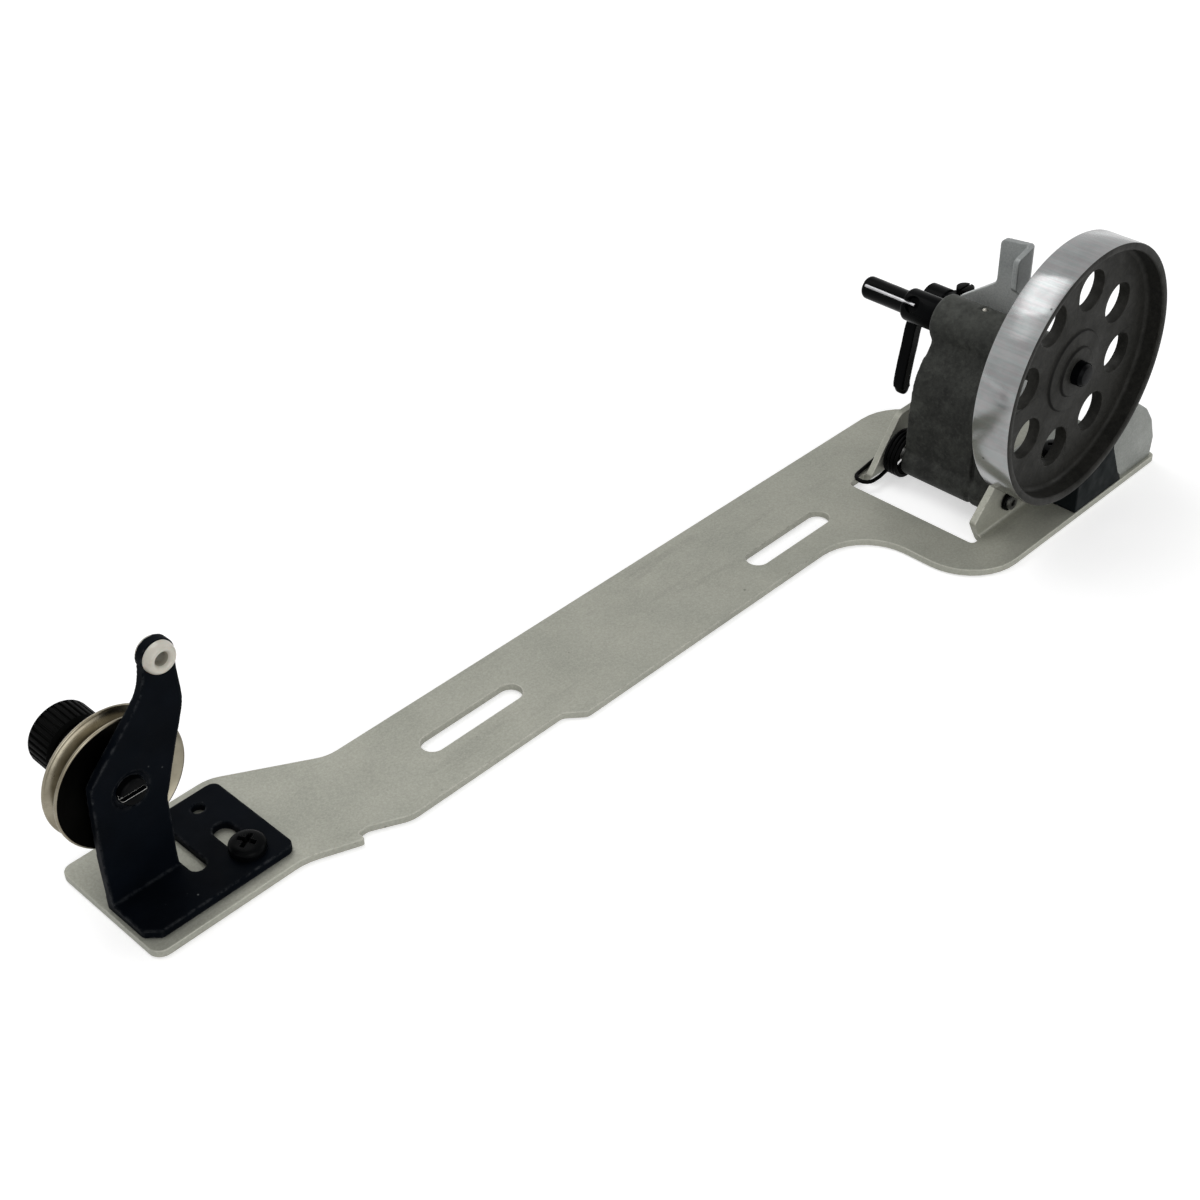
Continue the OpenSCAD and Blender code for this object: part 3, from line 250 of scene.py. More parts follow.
class Finish:
    # one material with a principled shader, and short words for the nodes that colour it
    def __init__(self, name, metallic=0.0, roughness=0.5, specular=0.5):
        self.material = bpy.data.materials.new(name)
        self.material.use_nodes = True
        self.tree = self.material.node_tree
        self.shader = self.tree.nodes["Principled BSDF"]
        self.shader.inputs["Metallic"].default_value = metallic
        self.shader.inputs["Roughness"].default_value = roughness
        self.shader.inputs["Specular IOR Level"].default_value = specular
        self.place = self.tree.nodes.new("ShaderNodeTexCoord").outputs["Object"]
        self.bumpOut = None

    def link(self, output, node, socket):
        self.tree.links.new(output, node.inputs[socket])

    def mapped(self, scale, offset=(0, 0, 0)):
        node = self.tree.nodes.new("ShaderNodeMapping")
        node.inputs["Scale"].default_value = scale
        node.inputs["Location"].default_value = offset
        self.link(self.place, node, "Vector")
        return node.outputs["Vector"]

    def noise(self, scale, detail=3, rough=0.5, place=None):
        node = self.tree.nodes.new("ShaderNodeTexNoise")
        node.inputs["Scale"].default_value = scale
        node.inputs["Detail"].default_value = detail
        node.inputs["Roughness"].default_value = rough
        self.link(place or self.place, node, "Vector")
        return node.outputs["Fac"]

    def cells(self, scale):
        node = self.tree.nodes.new("ShaderNodeTexVoronoi")
        node.inputs["Scale"].default_value = scale
        self.link(self.place, node, "Vector")
        return node.outputs["Distance"]

    def reach(self, scale, offset):
        node = self.tree.nodes.new("ShaderNodeVectorMath")
        node.operation = "LENGTH"
        self.tree.links.new(self.mapped(scale, offset), node.inputs[0])
        return node.outputs["Value"]

    def along(self, axis):
        node = self.tree.nodes.new("ShaderNodeSeparateXYZ")
        self.link(self.place, node, "Vector")
        return node.outputs[axis]

    def ramp(self, value, low, high, fromValue=0.0, toValue=1.0):
        return ranged(self.tree, value, (low, high), (fromValue, toValue))

    def times(self, a, b):
        return self.maths("MULTIPLY", a, b)

    def maths(self, operation, a, b):
        node = self.tree.nodes.new("ShaderNodeMath")
        node.operation = operation
        for i, value in enumerate((a, b)):
            if isinstance(value, (int, float)):
                node.inputs[i].default_value = value
            else:
                self.tree.links.new(value, node.inputs[i])
        return node.outputs["Value"]

    def mix(self, amount, a, b, kind="MIX"):
        node = self.tree.nodes.new("ShaderNodeMix")
        node.data_type = "RGBA"
        node.blend_type = kind
        if isinstance(amount, (int, float)):
            node.inputs[0].default_value = amount
        else:
            self.tree.links.new(amount, node.inputs[0])
        for i, value in ((6, a), (7, b)):
            if isinstance(value, (tuple, list)):
                node.inputs[i].default_value = (*value, 1)
            else:
                self.tree.links.new(value, node.inputs[i])
        return node.outputs[2]

    def edges(self, radius):
        # 1 on edges and corners, 0 on flat faces
        bevel = self.tree.nodes.new("ShaderNodeBevel")
        bevel.samples = 4
        bevel.inputs["Radius"].default_value = radius
        geometry = self.tree.nodes.new("ShaderNodeNewGeometry")
        dot = self.tree.nodes.new("ShaderNodeVectorMath")
        dot.operation = "DOT_PRODUCT"
        self.tree.links.new(bevel.outputs["Normal"], dot.inputs[0])
        self.tree.links.new(geometry.outputs["Normal"], dot.inputs[1])
        return self.ramp(dot.outputs["Value"], 1.0, 0.86)

    def bump(self, height, strength, distance):
        node = self.tree.nodes.new("ShaderNodeBump")
        node.inputs["Strength"].default_value = strength
        node.inputs["Distance"].default_value = distance
        self.link(height, node, "Height")
        if self.bumpOut:
            self.link(self.bumpOut, node, "Normal")
        self.bumpOut = node.outputs["Normal"]
        self.tree.links.new(self.bumpOut, self.shader.inputs["Normal"])

    def colour(self, output):
        self.tree.links.new(output, self.shader.inputs["Base Color"])

    def rough(self, output):
        self.tree.links.new(output, self.shader.inputs["Roughness"])


def zincFinish(name, light, dark, speckTone, edgeWearAndHighlight, roughness, metallic=0.35, paintedTopShade=None):
    f = Finish(name, metallic=metallic, roughness=roughness, specular=0.3)
    cloud = f.ramp(f.noise(38, 5, 0.6), 0.36, 0.64)
    colour = f.mix(cloud, light, dark)
    smear = f.ramp(f.noise(1, 4, 0.6, f.mapped((30, 160, 120))), 0.57, 0.71)
    colour = f.mix(f.times(smear, 0.5), colour, [v * 0.74 for v in dark])
    speck = f.times(f.ramp(f.cells(260), 0.10, 0.05), f.ramp(f.noise(60, 2), 0.58, 0.64))
    colour = f.mix(f.times(speck, 0.7), colour, speckTone)
    fine = f.noise(2400, 3, 0.6)
    grain = f.noise(1500, 5, 0.75)
    colour = f.mix(f.ramp(grain, 0.36, 0.64, 0, 0.34), colour, [v * 0.62 for v in dark])
    colour = f.mix(f.ramp(fine, 0.45, 0.7, 0, 0.22), colour, [min(1, v * 1.45) for v in light])
    # edge wear, partly a painted highlight: the edges are made paler, broken by noise
    border = f.edges(0.4 * mm)
    wear = f.times(border, f.ramp(f.noise(420, 3, 0.7), 0.36, 0.55, 0.35, 1))
    colour = f.mix(f.times(wear, 0.85), colour, edgeWearAndHighlight)
    elsewhere = f.mapped((1, 1, 1), (0.4, 0.2, 0.1))
    chips = f.times(border, f.ramp(f.noise(310, 3, 0.7, elsewhere), 0.60, 0.64))
    colour = f.mix(f.times(chips, 0.8), colour, (0.10, 0.085, 0.06))
    if paintedTopShade:
        # painted shade: darker towards the top, standing in for the dark room mirrored in the bare sheet
        colour = f.mix(f.ramp(f.along("Z"), paintedTopShade[0], paintedTopShade[1]), colour, f.mix(1, colour, paintedTopShade[2], "MULTIPLY"))
    f.colour(colour)
    f.rough(f.ramp(f.noise(90, 4), 0.3, 0.7, roughness - 0.06, roughness + 0.08))
    f.bump(fine, 0.12, 0.05 * mm)
    f.bump(f.noise(170, 3), 0.10, 0.2 * mm)
    return f.material


def castFinish(name, light, dark, roughness, scuffed=0.35, paintedTopLight=None, stepShadeAndOil=()):
    f = Finish(name, metallic=0.1, roughness=roughness, specular=0.12)
    cloud = f.ramp(f.noise(90, 7, 0.7), 0.38, 0.62)
    colour = f.mix(cloud, light, dark)
    colour = f.mix(f.ramp(f.noise(650, 5, 0.75), 0.40, 0.62, 0, 0.6), colour, [v * 0.45 for v in dark])
    grit = f.noise(900, 5, 0.75, f.mapped((1, 1, 1), (0.3, 0.1, 0.2)))
    colour = f.mix(f.ramp(grit, 0.52, 0.66, 0, 0.2), colour, [v * 2.4 for v in light])
    scuff = f.times(f.ramp(f.noise(150, 5, 0.7), 0.54, 0.70), scuffed)
    colour = f.mix(scuff, colour, [v * 2.1 for v in light])
    if paintedTopLight:
        # painted light: the casting is made paler, in patches, towards its top
        patchy = f.ramp(f.noise(260, 5, 0.7), 0.35, 0.62, 0.25, 1)
        topLight = f.times(f.ramp(f.along("Z"), *paintedTopLight, 0, 0.75), patchy)
        colour = f.mix(topLight, colour, [v * 2.3 for v in light])
    wear = f.times(f.edges(0.5 * mm), f.ramp(f.noise(300, 3, 0.7), 0.45, 0.65))
    colour = f.mix(f.times(wear, 0.45), colour, [v * 3.2 for v in light])
    for ring in stepShadeAndOil:
        # painted shade, and old oil, darken the corner of a turned step round the spindle
        off = f.maths("ABSOLUTE", f.maths("SUBTRACT", f.reach((1, 0, 1), (0, 0, -spindleZ)), ring), 0)
        colour = f.mix(f.ramp(off, 0.12 * mm, 0.3 * mm, 0.85, 0), colour, [v * 0.2 for v in dark])
    f.colour(colour)
    f.rough(f.ramp(f.noise(180, 3), 0.3, 0.7, roughness - 0.08, roughness + 0.1))
    f.bump(f.noise(1300, 4, 0.65), 0.35, 0.1 * mm)
    f.bump(f.noise(320, 3), 0.3, 0.3 * mm)
    return f.material


def blackFinish(name, tone, roughness, specular, wearTone=None, wearAmount=0.5, fleck=False, edge=0.22 * mm):
    f = Finish(name, metallic=0.0, roughness=roughness, specular=specular)
    cloud = f.ramp(f.noise(90, 4, 0.6), 0.35, 0.65)
    colour = f.mix(cloud, tone, [v * 1.7 for v in tone])
    if fleck:
        flecks = f.times(f.ramp(f.cells(420), 0.12, 0.05), f.ramp(f.noise(120, 2), 0.60, 0.66))
        colour = f.mix(f.times(flecks, 0.7), colour, (0.16, 0.17, 0.17))
    if wearTone:
        wear = f.times(f.edges(edge), f.ramp(f.noise(520, 3, 0.7), 0.42, 0.62))
        colour = f.mix(f.times(wear, wearAmount), colour, wearTone)
    f.colour(colour)
    f.rough(f.ramp(f.noise(260, 3), 0.3, 0.7, roughness - 0.06, roughness + 0.1))
    f.bump(f.noise(1700, 3, 0.6), 0.12, 0.05 * mm)
    return f.material


def rimFinish(name, tone):
    # ground steel: fine streaks across the rim, and rings round the spindle
    f = Finish(name, metallic=1.0, roughness=0.3, specular=0.5)
    turn = f.tree.nodes.new("ShaderNodeTangent")
    turn.direction_type = "RADIAL"
    turn.axis = "Y"
    f.tree.links.new(turn.outputs["Tangent"], f.shader.inputs["Tangent"])
    f.shader.inputs["Anisotropic"].default_value = 0.92
    f.shader.inputs["Anisotropic Rotation"].default_value = 0.25
    streak = f.noise(1, 3, 0.7, f.mapped((900, 6, 900)))
    rings = f.noise(1, 4, 0.7, f.mapped((60, 9000, 60)))
    cloud = f.ramp(f.noise(110, 5, 0.65), 0.35, 0.65)
    colour = f.mix(cloud, tone, [v * 0.78 for v in tone])
    colour = f.mix(f.ramp(streak, 0.42, 0.62, 0, 0.2), colour, [v * 1.5 for v in tone])
    hue = f.ramp(f.noise(1, 2, 0.6, f.mapped((1500, 300, 1500))), 0.40, 0.60)
    colour = f.mix(0.1, colour, f.mix(hue, (tone[0] * 1.35, tone[1] * 0.9, tone[2] * 1.1),
                                       (tone[0] * 0.8, tone[1] * 1.1, tone[2] * 1.2)))
    pits = f.times(f.ramp(f.cells(230), 0.09, 0.04), f.ramp(f.noise(70, 2), 0.58, 0.63))
    colour = f.mix(f.times(pits, 0.85), colour, (0.02, 0.02, 0.02))
    f.colour(colour)
    f.rough(f.ramp(f.noise(160, 3), 0.3, 0.7, 0.15, 0.2))
    f.bump(rings, 0.1, 0.02 * mm)
    f.bump(streak, 0.03, 0.02 * mm)
    return f.material


def nickelFinish(name, light, dark, roughness, shade=None):
    # plated sheet turned on a lathe: faint rings round the stud
    f = Finish(name, metallic=1.0, roughness=roughness, specular=0.5)
    ring = f.tree.nodes.new("ShaderNodeTexWave")
    ring.wave_type = "RINGS"
    ring.rings_direction = "Y"
    ring.inputs["Scale"].default_value = 900
    ring.inputs["Distortion"].default_value = 1.5
    f.link(f.mapped((1, 1, 1), (-studX, 0, -studZ)), ring, "Vector")
    cloud = f.ramp(f.noise(130, 4, 0.6), 0.35, 0.65)
    colour = f.mix(cloud, light, dark)
    if shade:
        # painted reflection of the black arm: dark on the stud's left, fading to the plain plate on its right
        colour = f.mix(f.ramp(f.along("X"), studX + 3 * mm, studX + 9 * mm), shade, colour)
    f.colour(colour)
    f.rough(f.ramp(f.noise(140, 3), 0.3, 0.7, roughness, roughness + 0.08))
    f.bump(ring.outputs["Fac"], 0.03, 0.02 * mm)
    return f.material


def plainMetal(name, light, dark, roughness, metallic=1.0):
    f = Finish(name, metallic=metallic, roughness=roughness)
    f.colour(f.mix(f.ramp(f.noise(260, 4, 0.6), 0.35, 0.65), light, dark))
    f.rough(f.ramp(f.noise(420, 3), 0.3, 0.7, max(0.05, roughness - 0.06), roughness + 0.1))
    f.bump(f.noise(2600, 3), 0.08, 0.03 * mm)
    return f.material


def glazeFinish(name, light, dark, coat):
    f = Finish(name, roughness=0.22, specular=0.4 * coat)
    f.shader.inputs["Coat Weight"].default_value = 0.3 * coat
    f.shader.inputs["Coat Roughness"].default_value = 0.08
    f.shader.inputs["Subsurface Weight"].default_value = 0.12 * coat
    f.shader.inputs["Subsurface Scale"].default_value = 0.6 * mm
    stainAndBoreShade = f.ramp(f.noise(420, 4, 0.6), 0.5, 0.7)
    f.colour(f.mix(f.times(stainAndBoreShade, 0.4), light, dark))
    f.bump(f.noise(700, 2), 0.06, 0.04 * mm)
    return f.material


def rubberFinish(name):
    f = Finish(name, roughness=0.62, specular=0.05)
    f.colour(f.mix(f.ramp(f.noise(140, 5, 0.65), 0.35, 0.65), (0.004, 0.0055, 0.006), (0.009, 0.0115, 0.012)))
    f.rough(f.ramp(f.noise(300, 3), 0.3, 0.7, 0.5, 0.75))
    f.bump(f.noise(1300, 4, 0.65), 0.25, 0.06 * mm)
    return f.material


plateMetal = zincFinish("plateMetal", (0.385, 0.385, 0.330), (0.325, 0.33, 0.282), (0.08, 0.08, 0.07),
                        (0.66, 0.65, 0.58), 0.5)
bracketMetal = zincFinish("bracketMetal", (0.27, 0.282, 0.262), (0.15, 0.16, 0.145), (0.07, 0.07, 0.07),
                          (0.6, 0.62, 0.6), 0.36, 0.5)
# the lever's finish carries a painted shade towards its top
leverMetal = zincFinish("leverMetal", (0.68, 0.70, 0.685), (0.44, 0.46, 0.45), (0.10, 0.10, 0.10),
                        (0.75, 0.77, 0.75), 0.36, 0.25, (50 * mm, 58 * mm, (0.47, 0.48, 0.485)))
castMetal = castFinish("castMetal", (0.048, 0.050, 0.045), (0.027, 0.028, 0.026), 0.6,
                       paintedTopLight=(43 * mm, 50 * mm))
webMetal = castFinish("webMetal", (0.0215, 0.021, 0.0185), (0.0148, 0.0148, 0.013), 0.55, 0.12,
                      stepShadeAndOil=(6.2 * mm, 10.1 * mm))
rimMetal = rimFinish("rimMetal", (0.285, 0.292, 0.288))
blueBlack = blackFinish("blueBlack", (0.0011, 0.0018, 0.0030), 0.5, 0.022, (0.10, 0.105, 0.11), 0.6,
                        fleck=True, edge=0.7 * mm)
blackSteel = blackFinish("blackSteel", (0.0010, 0.0012, 0.0014), 0.26, 0.028, (0.05, 0.05, 0.05), 0.4)
nutBlack = blackFinish("nutBlack", (0.0009, 0.0010, 0.0009), 0.42, 0.02, (0.03, 0.03, 0.028), 0.5)
springBlack = blackFinish("springBlack", (0.001, 0.001, 0.001), 0.35, 0.03)
brightWire = plainMetal("brightWire", (0.52, 0.52, 0.53), (0.36, 0.36, 0.37), 0.42)
bushBronze = plainMetal("bushBronze", (0.40, 0.28, 0.13), (0.30, 0.20, 0.09), 0.42)
# bare steel in the stud's slot, pale enough to be a painted highlight
slotSteelSheen = plainMetal("slotSteelSheen", (0.8, 0.8, 0.77), (0.55, 0.55, 0.52), 0.45, 0.5)
ballSteel = plainMetal("ballSteel", (0.34, 0.33, 0.30), (0.16, 0.15, 0.13), 0.3)
pinSteel = plainMetal("pinSteel", (0.20, 0.20, 0.19), (0.12, 0.12, 0.12), 0.35)
discNickel = nickelFinish("discNickel", (0.30, 0.275, 0.215), (0.17, 0.15, 0.11), 0.24)
# a copy of the disc finish with a painted dark reflection of the black arm
discShade = nickelFinish("discShade", (0.31, 0.285, 0.22), (0.22, 0.2, 0.15), 0.34, (0.012, 0.011, 0.010))
eyeletGlaze = glazeFinish("eyeletGlaze", (0.55, 0.525, 0.455), (0.36, 0.335, 0.28), 1)
# a darker glaze: painted shade deep in the bore
eyeletBoreShade = glazeFinish("eyeletBoreShade", (0.27, 0.255, 0.21), (0.16, 0.15, 0.12), 0.2)
blockRubber = rubberFinish("blockRubber")
print("materials made")


def keepNode(node, material):
    # a small CAD node whose shape is right keeps its mesh and gets the finish
    shown = frame["nodes"][node]
    shown.data.materials.clear()
    shown.data.materials.append(material)


# base plate and hinge

plateShape = {"edge": 0.2 * mm, "steps": 3}
plate = softCopy("base_plate", "basePlate", plateShape["edge"], plateShape["steps"])
finishPiece(plate, "base_plate", plateMetal, flat=True)

keepNode("hinge_pin", pinSteel)
keepNode("hinge_clip", blackSteel)

hingeSpring = {"x": -9.8 * mm, "z": 7.1 * mm, "radius": 5.7 * mm, "wire": 0.52 * mm, "start": 97,
               "near": -10.7 * mm, "far": -6.71 * mm, "turns": 3.66, "tail": 2.4 * mm, "legX": -19.3 * mm,
               "legY": -6.9 * mm, "hookR": 2.5 * mm, "hookSteps": 8, "legZ": 2.45 * mm,
               "footX": -11.4 * mm, "footY": -1.0 * mm}


def hingeSpringPath(s):
    pitch = (s["far"] - s["near"]) / s["turns"]
    path = coilPath(s["x"], s["z"], s["radius"], s["near"], pitch, s["turns"], s["start"])
    first = path[0]
    path = [first - Vector((0, s["tail"], 0)), first - Vector((0, s["tail"] / 2, 0))] + path
    path.append(Vector((s["legX"] + s["hookR"], s["legY"], s["legZ"])))
    for i in range(s["hookSteps"] + 1):
        angle = math.radians(-90 - 180 * i / s["hookSteps"])
        path.append(Vector((s["legX"] + s["hookR"] * math.cos(angle),
                            s["legY"] + s["hookR"] + s["hookR"] * math.sin(angle), s["legZ"])))
    foot = Vector((s["footX"], s["footY"], s["legZ"]))
    return path + [(path[-1] + foot) / 2, foot]


spring = wireTube("returnSpring", hingeSpringPath(hingeSpring), hingeSpring["wire"])
finishPiece(spring, "return_spring", springBlack, wireAngle)
print("plate and hinge dressed")

# brake

brakeShape = {"edge": 0.2 * mm, "block": 0.35 * mm, "steps": 3}
bracket = softCopy("brake_bracket", "brakeBracket", brakeShape["edge"], brakeShape["steps"])
finishPiece(bracket, "brake_bracket", bracketMetal, flat=True)
block = softCopy("brake_block", "brakeBlock", brakeShape["block"], brakeShape["steps"])
finishPiece(block, "brake_block", blockRubber, flat=True)

screwShape = {"head": 4.0 * mm, "edge": 0.9 * mm, "height": 2.7 * mm, "shank": 2.0 * mm, "length": 3.2 * mm,
              "rim": 0.25 * mm, "entry": 0.3 * mm, "crossW": 1.3 * mm, "crossL": 5.2 * mm, "crossD": 1.7 * mm,
              "taper": 0.6, "turn": 25, "bevel": 0.09 * mm, "tipShare": 0.8, "domeSteps": 10,
              "domePower": 1.6, "sides": 64, "brake_screw": (20.7 * mm, -34.5 * mm, 3.4 * mm),
              "bracket_screw": (-211 * mm, 2.9 * mm, 3.96 * mm)}


def panScrew(s, name, place):
    shares = [i / s["domeSteps"] for i in range(s["domeSteps"] + 1)]
    dome = [(s["head"] * math.cos(math.radians(90 * share ** s["domePower"])),
             s["edge"] + (s["height"] - s["edge"]) * math.sin(math.radians(90 * share))) for share in shares]
    section = [(0, -s["length"]), (s["shank"] * s["tipShare"], -s["length"]),
               (s["shank"], -s["length"] + s["entry"]), (s["shank"], 0), (s["head"] - s["rim"], 0),
               (s["head"], s["rim"])] + dome
    piece = turnedPiece(name, section, 0, 0, s["sides"], closed=False)
    piece.rotation_euler = (math.pi / 2, 0, 0)
    placeMesh(piece)
    for turn in (math.radians(s["turn"]), math.radians(s["turn"]) + math.pi / 2):
        cutter = addSolid(bpy.ops.mesh.primitive_cube_add, size=1, rotation=(0, 0, turn),
                          location=(0, 0, s["height"] - (s["crossD"] - pastFace) / 2),
                          scale=(s["crossL"], s["crossW"], s["crossD"] + pastFace))
        # the arms of the recess narrow towards its floor
        for point in cutter.data.vertices:
            if point.co.z < s["height"] - s["crossD"] / 2:
                point.co.x *= s["taper"]
                point.co.y *= s["taper"]
        cutWith(piece, cutter)
    piece.location = place
    placeMesh(piece)
    bevelEdges(piece, s["bevel"], angle=cornerAngle)
    return piece


for node, name in (("brake_screw", "brakeScrew"), ("bracket_screw", "bracketScrew")):
    finishPiece(panScrew(screwShape, name, screwShape[node]), node, blackSteel, turnedAngle)
print("brake dressed")

# winder frame: cast, so all its edges run soft

# the crease runs down from the boss on the wall's left side, between these heights, radii and places along Y
castShape = {"voxel": 0.32 * mm, "smooth": 4, "blend": 60, "creaseX": -2 * mm,
             "creaseZ": (33 * mm, 42 * mm), "creaseR": (5.2 * mm, 11 * mm), "creaseY": (-39 * mm, -10.6 * mm),
             "oil": (0, -22 * mm, 49.3 * mm), "oilR": 3.2 * mm}
winder = softCopy("winder_frame", "winderFrame", 0)
softenPiece(winder, castShape["voxel"], castShape["smooth"])
# where the wall runs into the boss, and round the oil point, the casting is blended further
s = castShape
blended = winder.vertex_groups.new(name="blended")
for point in winder.data.vertices:
    place = point.co
    spans = ((place.z, s["creaseZ"]), (place.y, s["creaseY"]),
             (math.hypot(place.x, place.z - spindleZ), s["creaseR"]))
    crease = place.x < s["creaseX"] and all(low < value < high for value, (low, high) in spans)
    if crease or (place - Vector(s["oil"])).length < s["oilR"]:
        blended.add([point.index], 1, "REPLACE")
applyModifier(winder, "SMOOTH", factor=0.5, iterations=s["blend"], vertex_group="blended")
finishPiece(winder, "winder_frame", castMetal, softAngle)
oilBall = {"place": (0, -22 * mm, 48.75 * mm), "radius": 0.95 * mm}
ball = addSolid(bpy.ops.mesh.primitive_uv_sphere_add, segments=24, ring_count=16, radius=oilBall["radius"],
                location=oilBall["place"])
ball.name = "oilBall"
finishPiece(ball, "winder_frame", ballSteel, softAngle)
keepNode("near_bush", bushBronze)
keepNode("far_bush", bushBronze)
keepNode("latch_shaft", pinSteel)
keepNode("shaft_clip", blackSteel)

latchCoil = {"x": 16 * mm, "z": 35.5 * mm, "radius": 3.1 * mm, "near": -8.2 * mm, "pitch": 1.15 * mm,
             "turns": 1.25, "wire": 0.35 * mm, "tail": 1 * mm}
s = latchCoil
coil = coilPath(s["x"], s["z"], s["radius"], s["near"], s["pitch"], s["turns"], 0)
down, aside = Vector((0, 0, s["tail"])), Vector((s["tail"], 0, 0))
coil = [coil[0] - 2 * down, coil[0] - down] + coil + [coil[-1] - aside, coil[-1] - 2 * aside]
finishPiece(wireTube("latchSpring", coil, s["wire"]), "latch_spring", springBlack, wireAngle)
print("winder frame dressed")

# spindle with its bobbin pin

spindleShape = {"near": -51.75 * mm, "shaft": 3 * mm, "shaftEdge": 0.7 * mm, "collarNear": -9.7 * mm,
                "collar": 4.2 * mm, "collarFar": 0.5 * mm, "collarRound": 1.1 * mm, "pin": 2.95 * mm,
                "pinEnd": 13.7 * mm, "pinRound": 1.3 * mm, "grooveW": 1.1 * mm, "grooveFloor": 2.0 * mm,
                "grooveTop": 6 * mm, "notchY": -2.8 * mm, "notchR": 2.1 * mm, "notchL": 6 * mm, "turn": -55,
                "bevel": 0.14 * mm, "sides": 96}
s = spindleShape
spindleSection = [(0, s["near"]), (s["shaft"] - s["shaftEdge"], s["near"]),
                  (s["shaft"], s["near"] + s["shaftEdge"]), (s["shaft"], s["collarNear"]),
                  (s["collar"], s["collarNear"])]
spindleSection += arcPoints(s["collar"] - s["collarRound"], s["collarFar"] - s["collarRound"],
                            s["collarRound"], 0, 90)
spindleSection += [(s["pin"], s["collarFar"])]
spindleSection += arcPoints(s["pin"] - s["pinRound"], s["pinEnd"] - s["pinRound"], s["pinRound"], 0, 90)
spindleSection += [(0, s["pinEnd"])]
spindle = turnedPiece("spindle", spindleSection, 0, spindleZ, s["sides"], closed=False)
turnRound = Matrix.Translation((0, 0, spindleZ)) @ Matrix.Rotation(math.radians(s["turn"]), 4, "Y")
groove = boxAt((-s["grooveW"] / 2, s["notchY"], s["grooveFloor"]),
               (s["grooveW"] / 2, s["pinEnd"] + pastFace, s["grooveTop"]))
notch = barAlongZ(s["notchR"], (0, s["notchY"], s["grooveFloor"] + s["notchL"] / 2), s["notchL"])
for cutter in (groove, notch):
    cutter.data.transform(turnRound)
    cutWith(spindle, cutter)
bevelEdges(spindle, s["bevel"], angle=cornerAngle)
finishPiece(spindle, "spindle", blackSteel, turnedAngle)

bobbinWire = {"wire": 0.5 * mm, "height": 2.5 * mm, "from": -2.8 * mm, "to": 11.9 * mm, "steps": 8,
              "foot": 0.8 * mm, "footDrop": 0.1 * mm, "tip": 0.5 * mm, "tipDrop": 0.12 * mm}
s = bobbinWire
wirePath = [Vector((0, s["from"], s["height"] - s["footDrop"])),
            Vector((0, s["from"] + s["foot"], s["height"]))]
wirePath += [Vector((0, s["from"] + (s["to"] - s["from"]) * i / s["steps"], s["height"]))
             for i in range(1, s["steps"] + 1)]
wirePath += [Vector((0, s["to"] + s["tip"], s["height"] - s["tipDrop"]))]
bobbinSpring = wireTube("bobbinSpring", wirePath, s["wire"])
bobbinSpring.data.transform(turnRound)
finishPiece(bobbinSpring, "bobbin_spring", brightWire, wireAngle)
keepNode("wheel_screw", blackSteel)
print("spindle dressed")

# wheel: turned section, eight holes, bright rim and dark web

wheelShape = {"near": -52.5 * mm, "outer": 32.75 * mm, "rim": 1.95 * mm, "width": 10 * mm,
              "webFace": 4.8 * mm, "web": 3 * mm, "cove": 1.1 * mm, "hub": 10.1 * mm, "hubSmall": 6.2 * mm,
              "step": 0.7 * mm, "hubBack": 7 * mm, "hubEnd": 11.2 * mm, "bore": 3.02 * mm, "holes": 8,
              "holeR": 5.1 * mm, "circle": 19.98 * mm, "turn": 34.2, "lip": 0.45 * mm,
              "smallRamp": 0.25 * mm, "hubRamp": 0.3 * mm, "bevel": 0.16 * mm, "sides": 180, "holeSides": 56,
              "innerSoft": (0.2 * mm, 0.12 * mm), "nearSoft": (0.12 * mm, 0.15 * mm), "farSoft": 0.15 * mm,
              "cornerAngle": 50}
s = wheelShape
inner = s["outer"] - s["rim"]
wheelSection = [(s["bore"], s["webFace"] - 2 * s["step"]), (s["hubSmall"], s["webFace"] - 2 * s["step"]),
                (s["hubSmall"] + s["smallRamp"], s["webFace"] - s["step"]),
                (s["hub"], s["webFace"] - s["step"]), (s["hub"] + s["hubRamp"], s["webFace"])]
wheelSection += arcPoints(inner - s["cove"], s["webFace"] - s["cove"], s["cove"], 90, 0)
wheelSection += [(inner, s["lip"]), (inner + s["innerSoft"][0], s["innerSoft"][1]), (inner + s["lip"], 0),
                 (s["outer"] - s["lip"], 0), (s["outer"] - s["nearSoft"][0], s["nearSoft"][1]),
                 (s["outer"], s["lip"]), (s["outer"], s["width"] - s["lip"]),
                 (s["outer"] - s["farSoft"], s["width"] - s["farSoft"]),
                 (s["outer"] - s["lip"], s["width"]), (inner, s["width"])]
wheelSection += arcPoints(inner - s["cove"], s["webFace"] + s["web"] + s["cove"], s["cove"], 0, -90)
wheelSection += [(s["hubBack"], s["webFace"] + s["web"]), (s["hubBack"], s["hubEnd"]),
                 (s["bore"], s["hubEnd"])]
wheelSection = [(radius, along + s["near"]) for radius, along in wheelSection]
wheel = turnedPiece("wheel", wheelSection, 0, spindleZ, s["sides"])
cutters = []
for i in range(s["holes"]):
    angle = math.radians(s["turn"] + 360 * i / s["holes"])
    x, z = s["circle"] * math.cos(angle), spindleZ + s["circle"] * math.sin(angle)
    cutters.append(barAlongY(s["holeR"], x, z, s["near"] - pastFace, s["near"] + s["width"] + pastFace,
                             s["holeSides"]))
cutWith(wheel, joinPieces(cutters))
bevelEdges(wheel, s["bevel"], angle=s["cornerAngle"])
wheel.data.materials.clear()
wheel.data.materials.append(webMetal)
wheel.data.materials.append(rimMetal)
for face in wheel.data.polygons:
    radius = math.hypot(face.center.x, face.center.z - spindleZ)
    if radius > s["outer"] - s["lip"] / 2:
        face.material_index = 1
finishPiece(wheel, "wheel", None, turnedAngle)
print("wheel dressed")

# trip latch and thumb lever

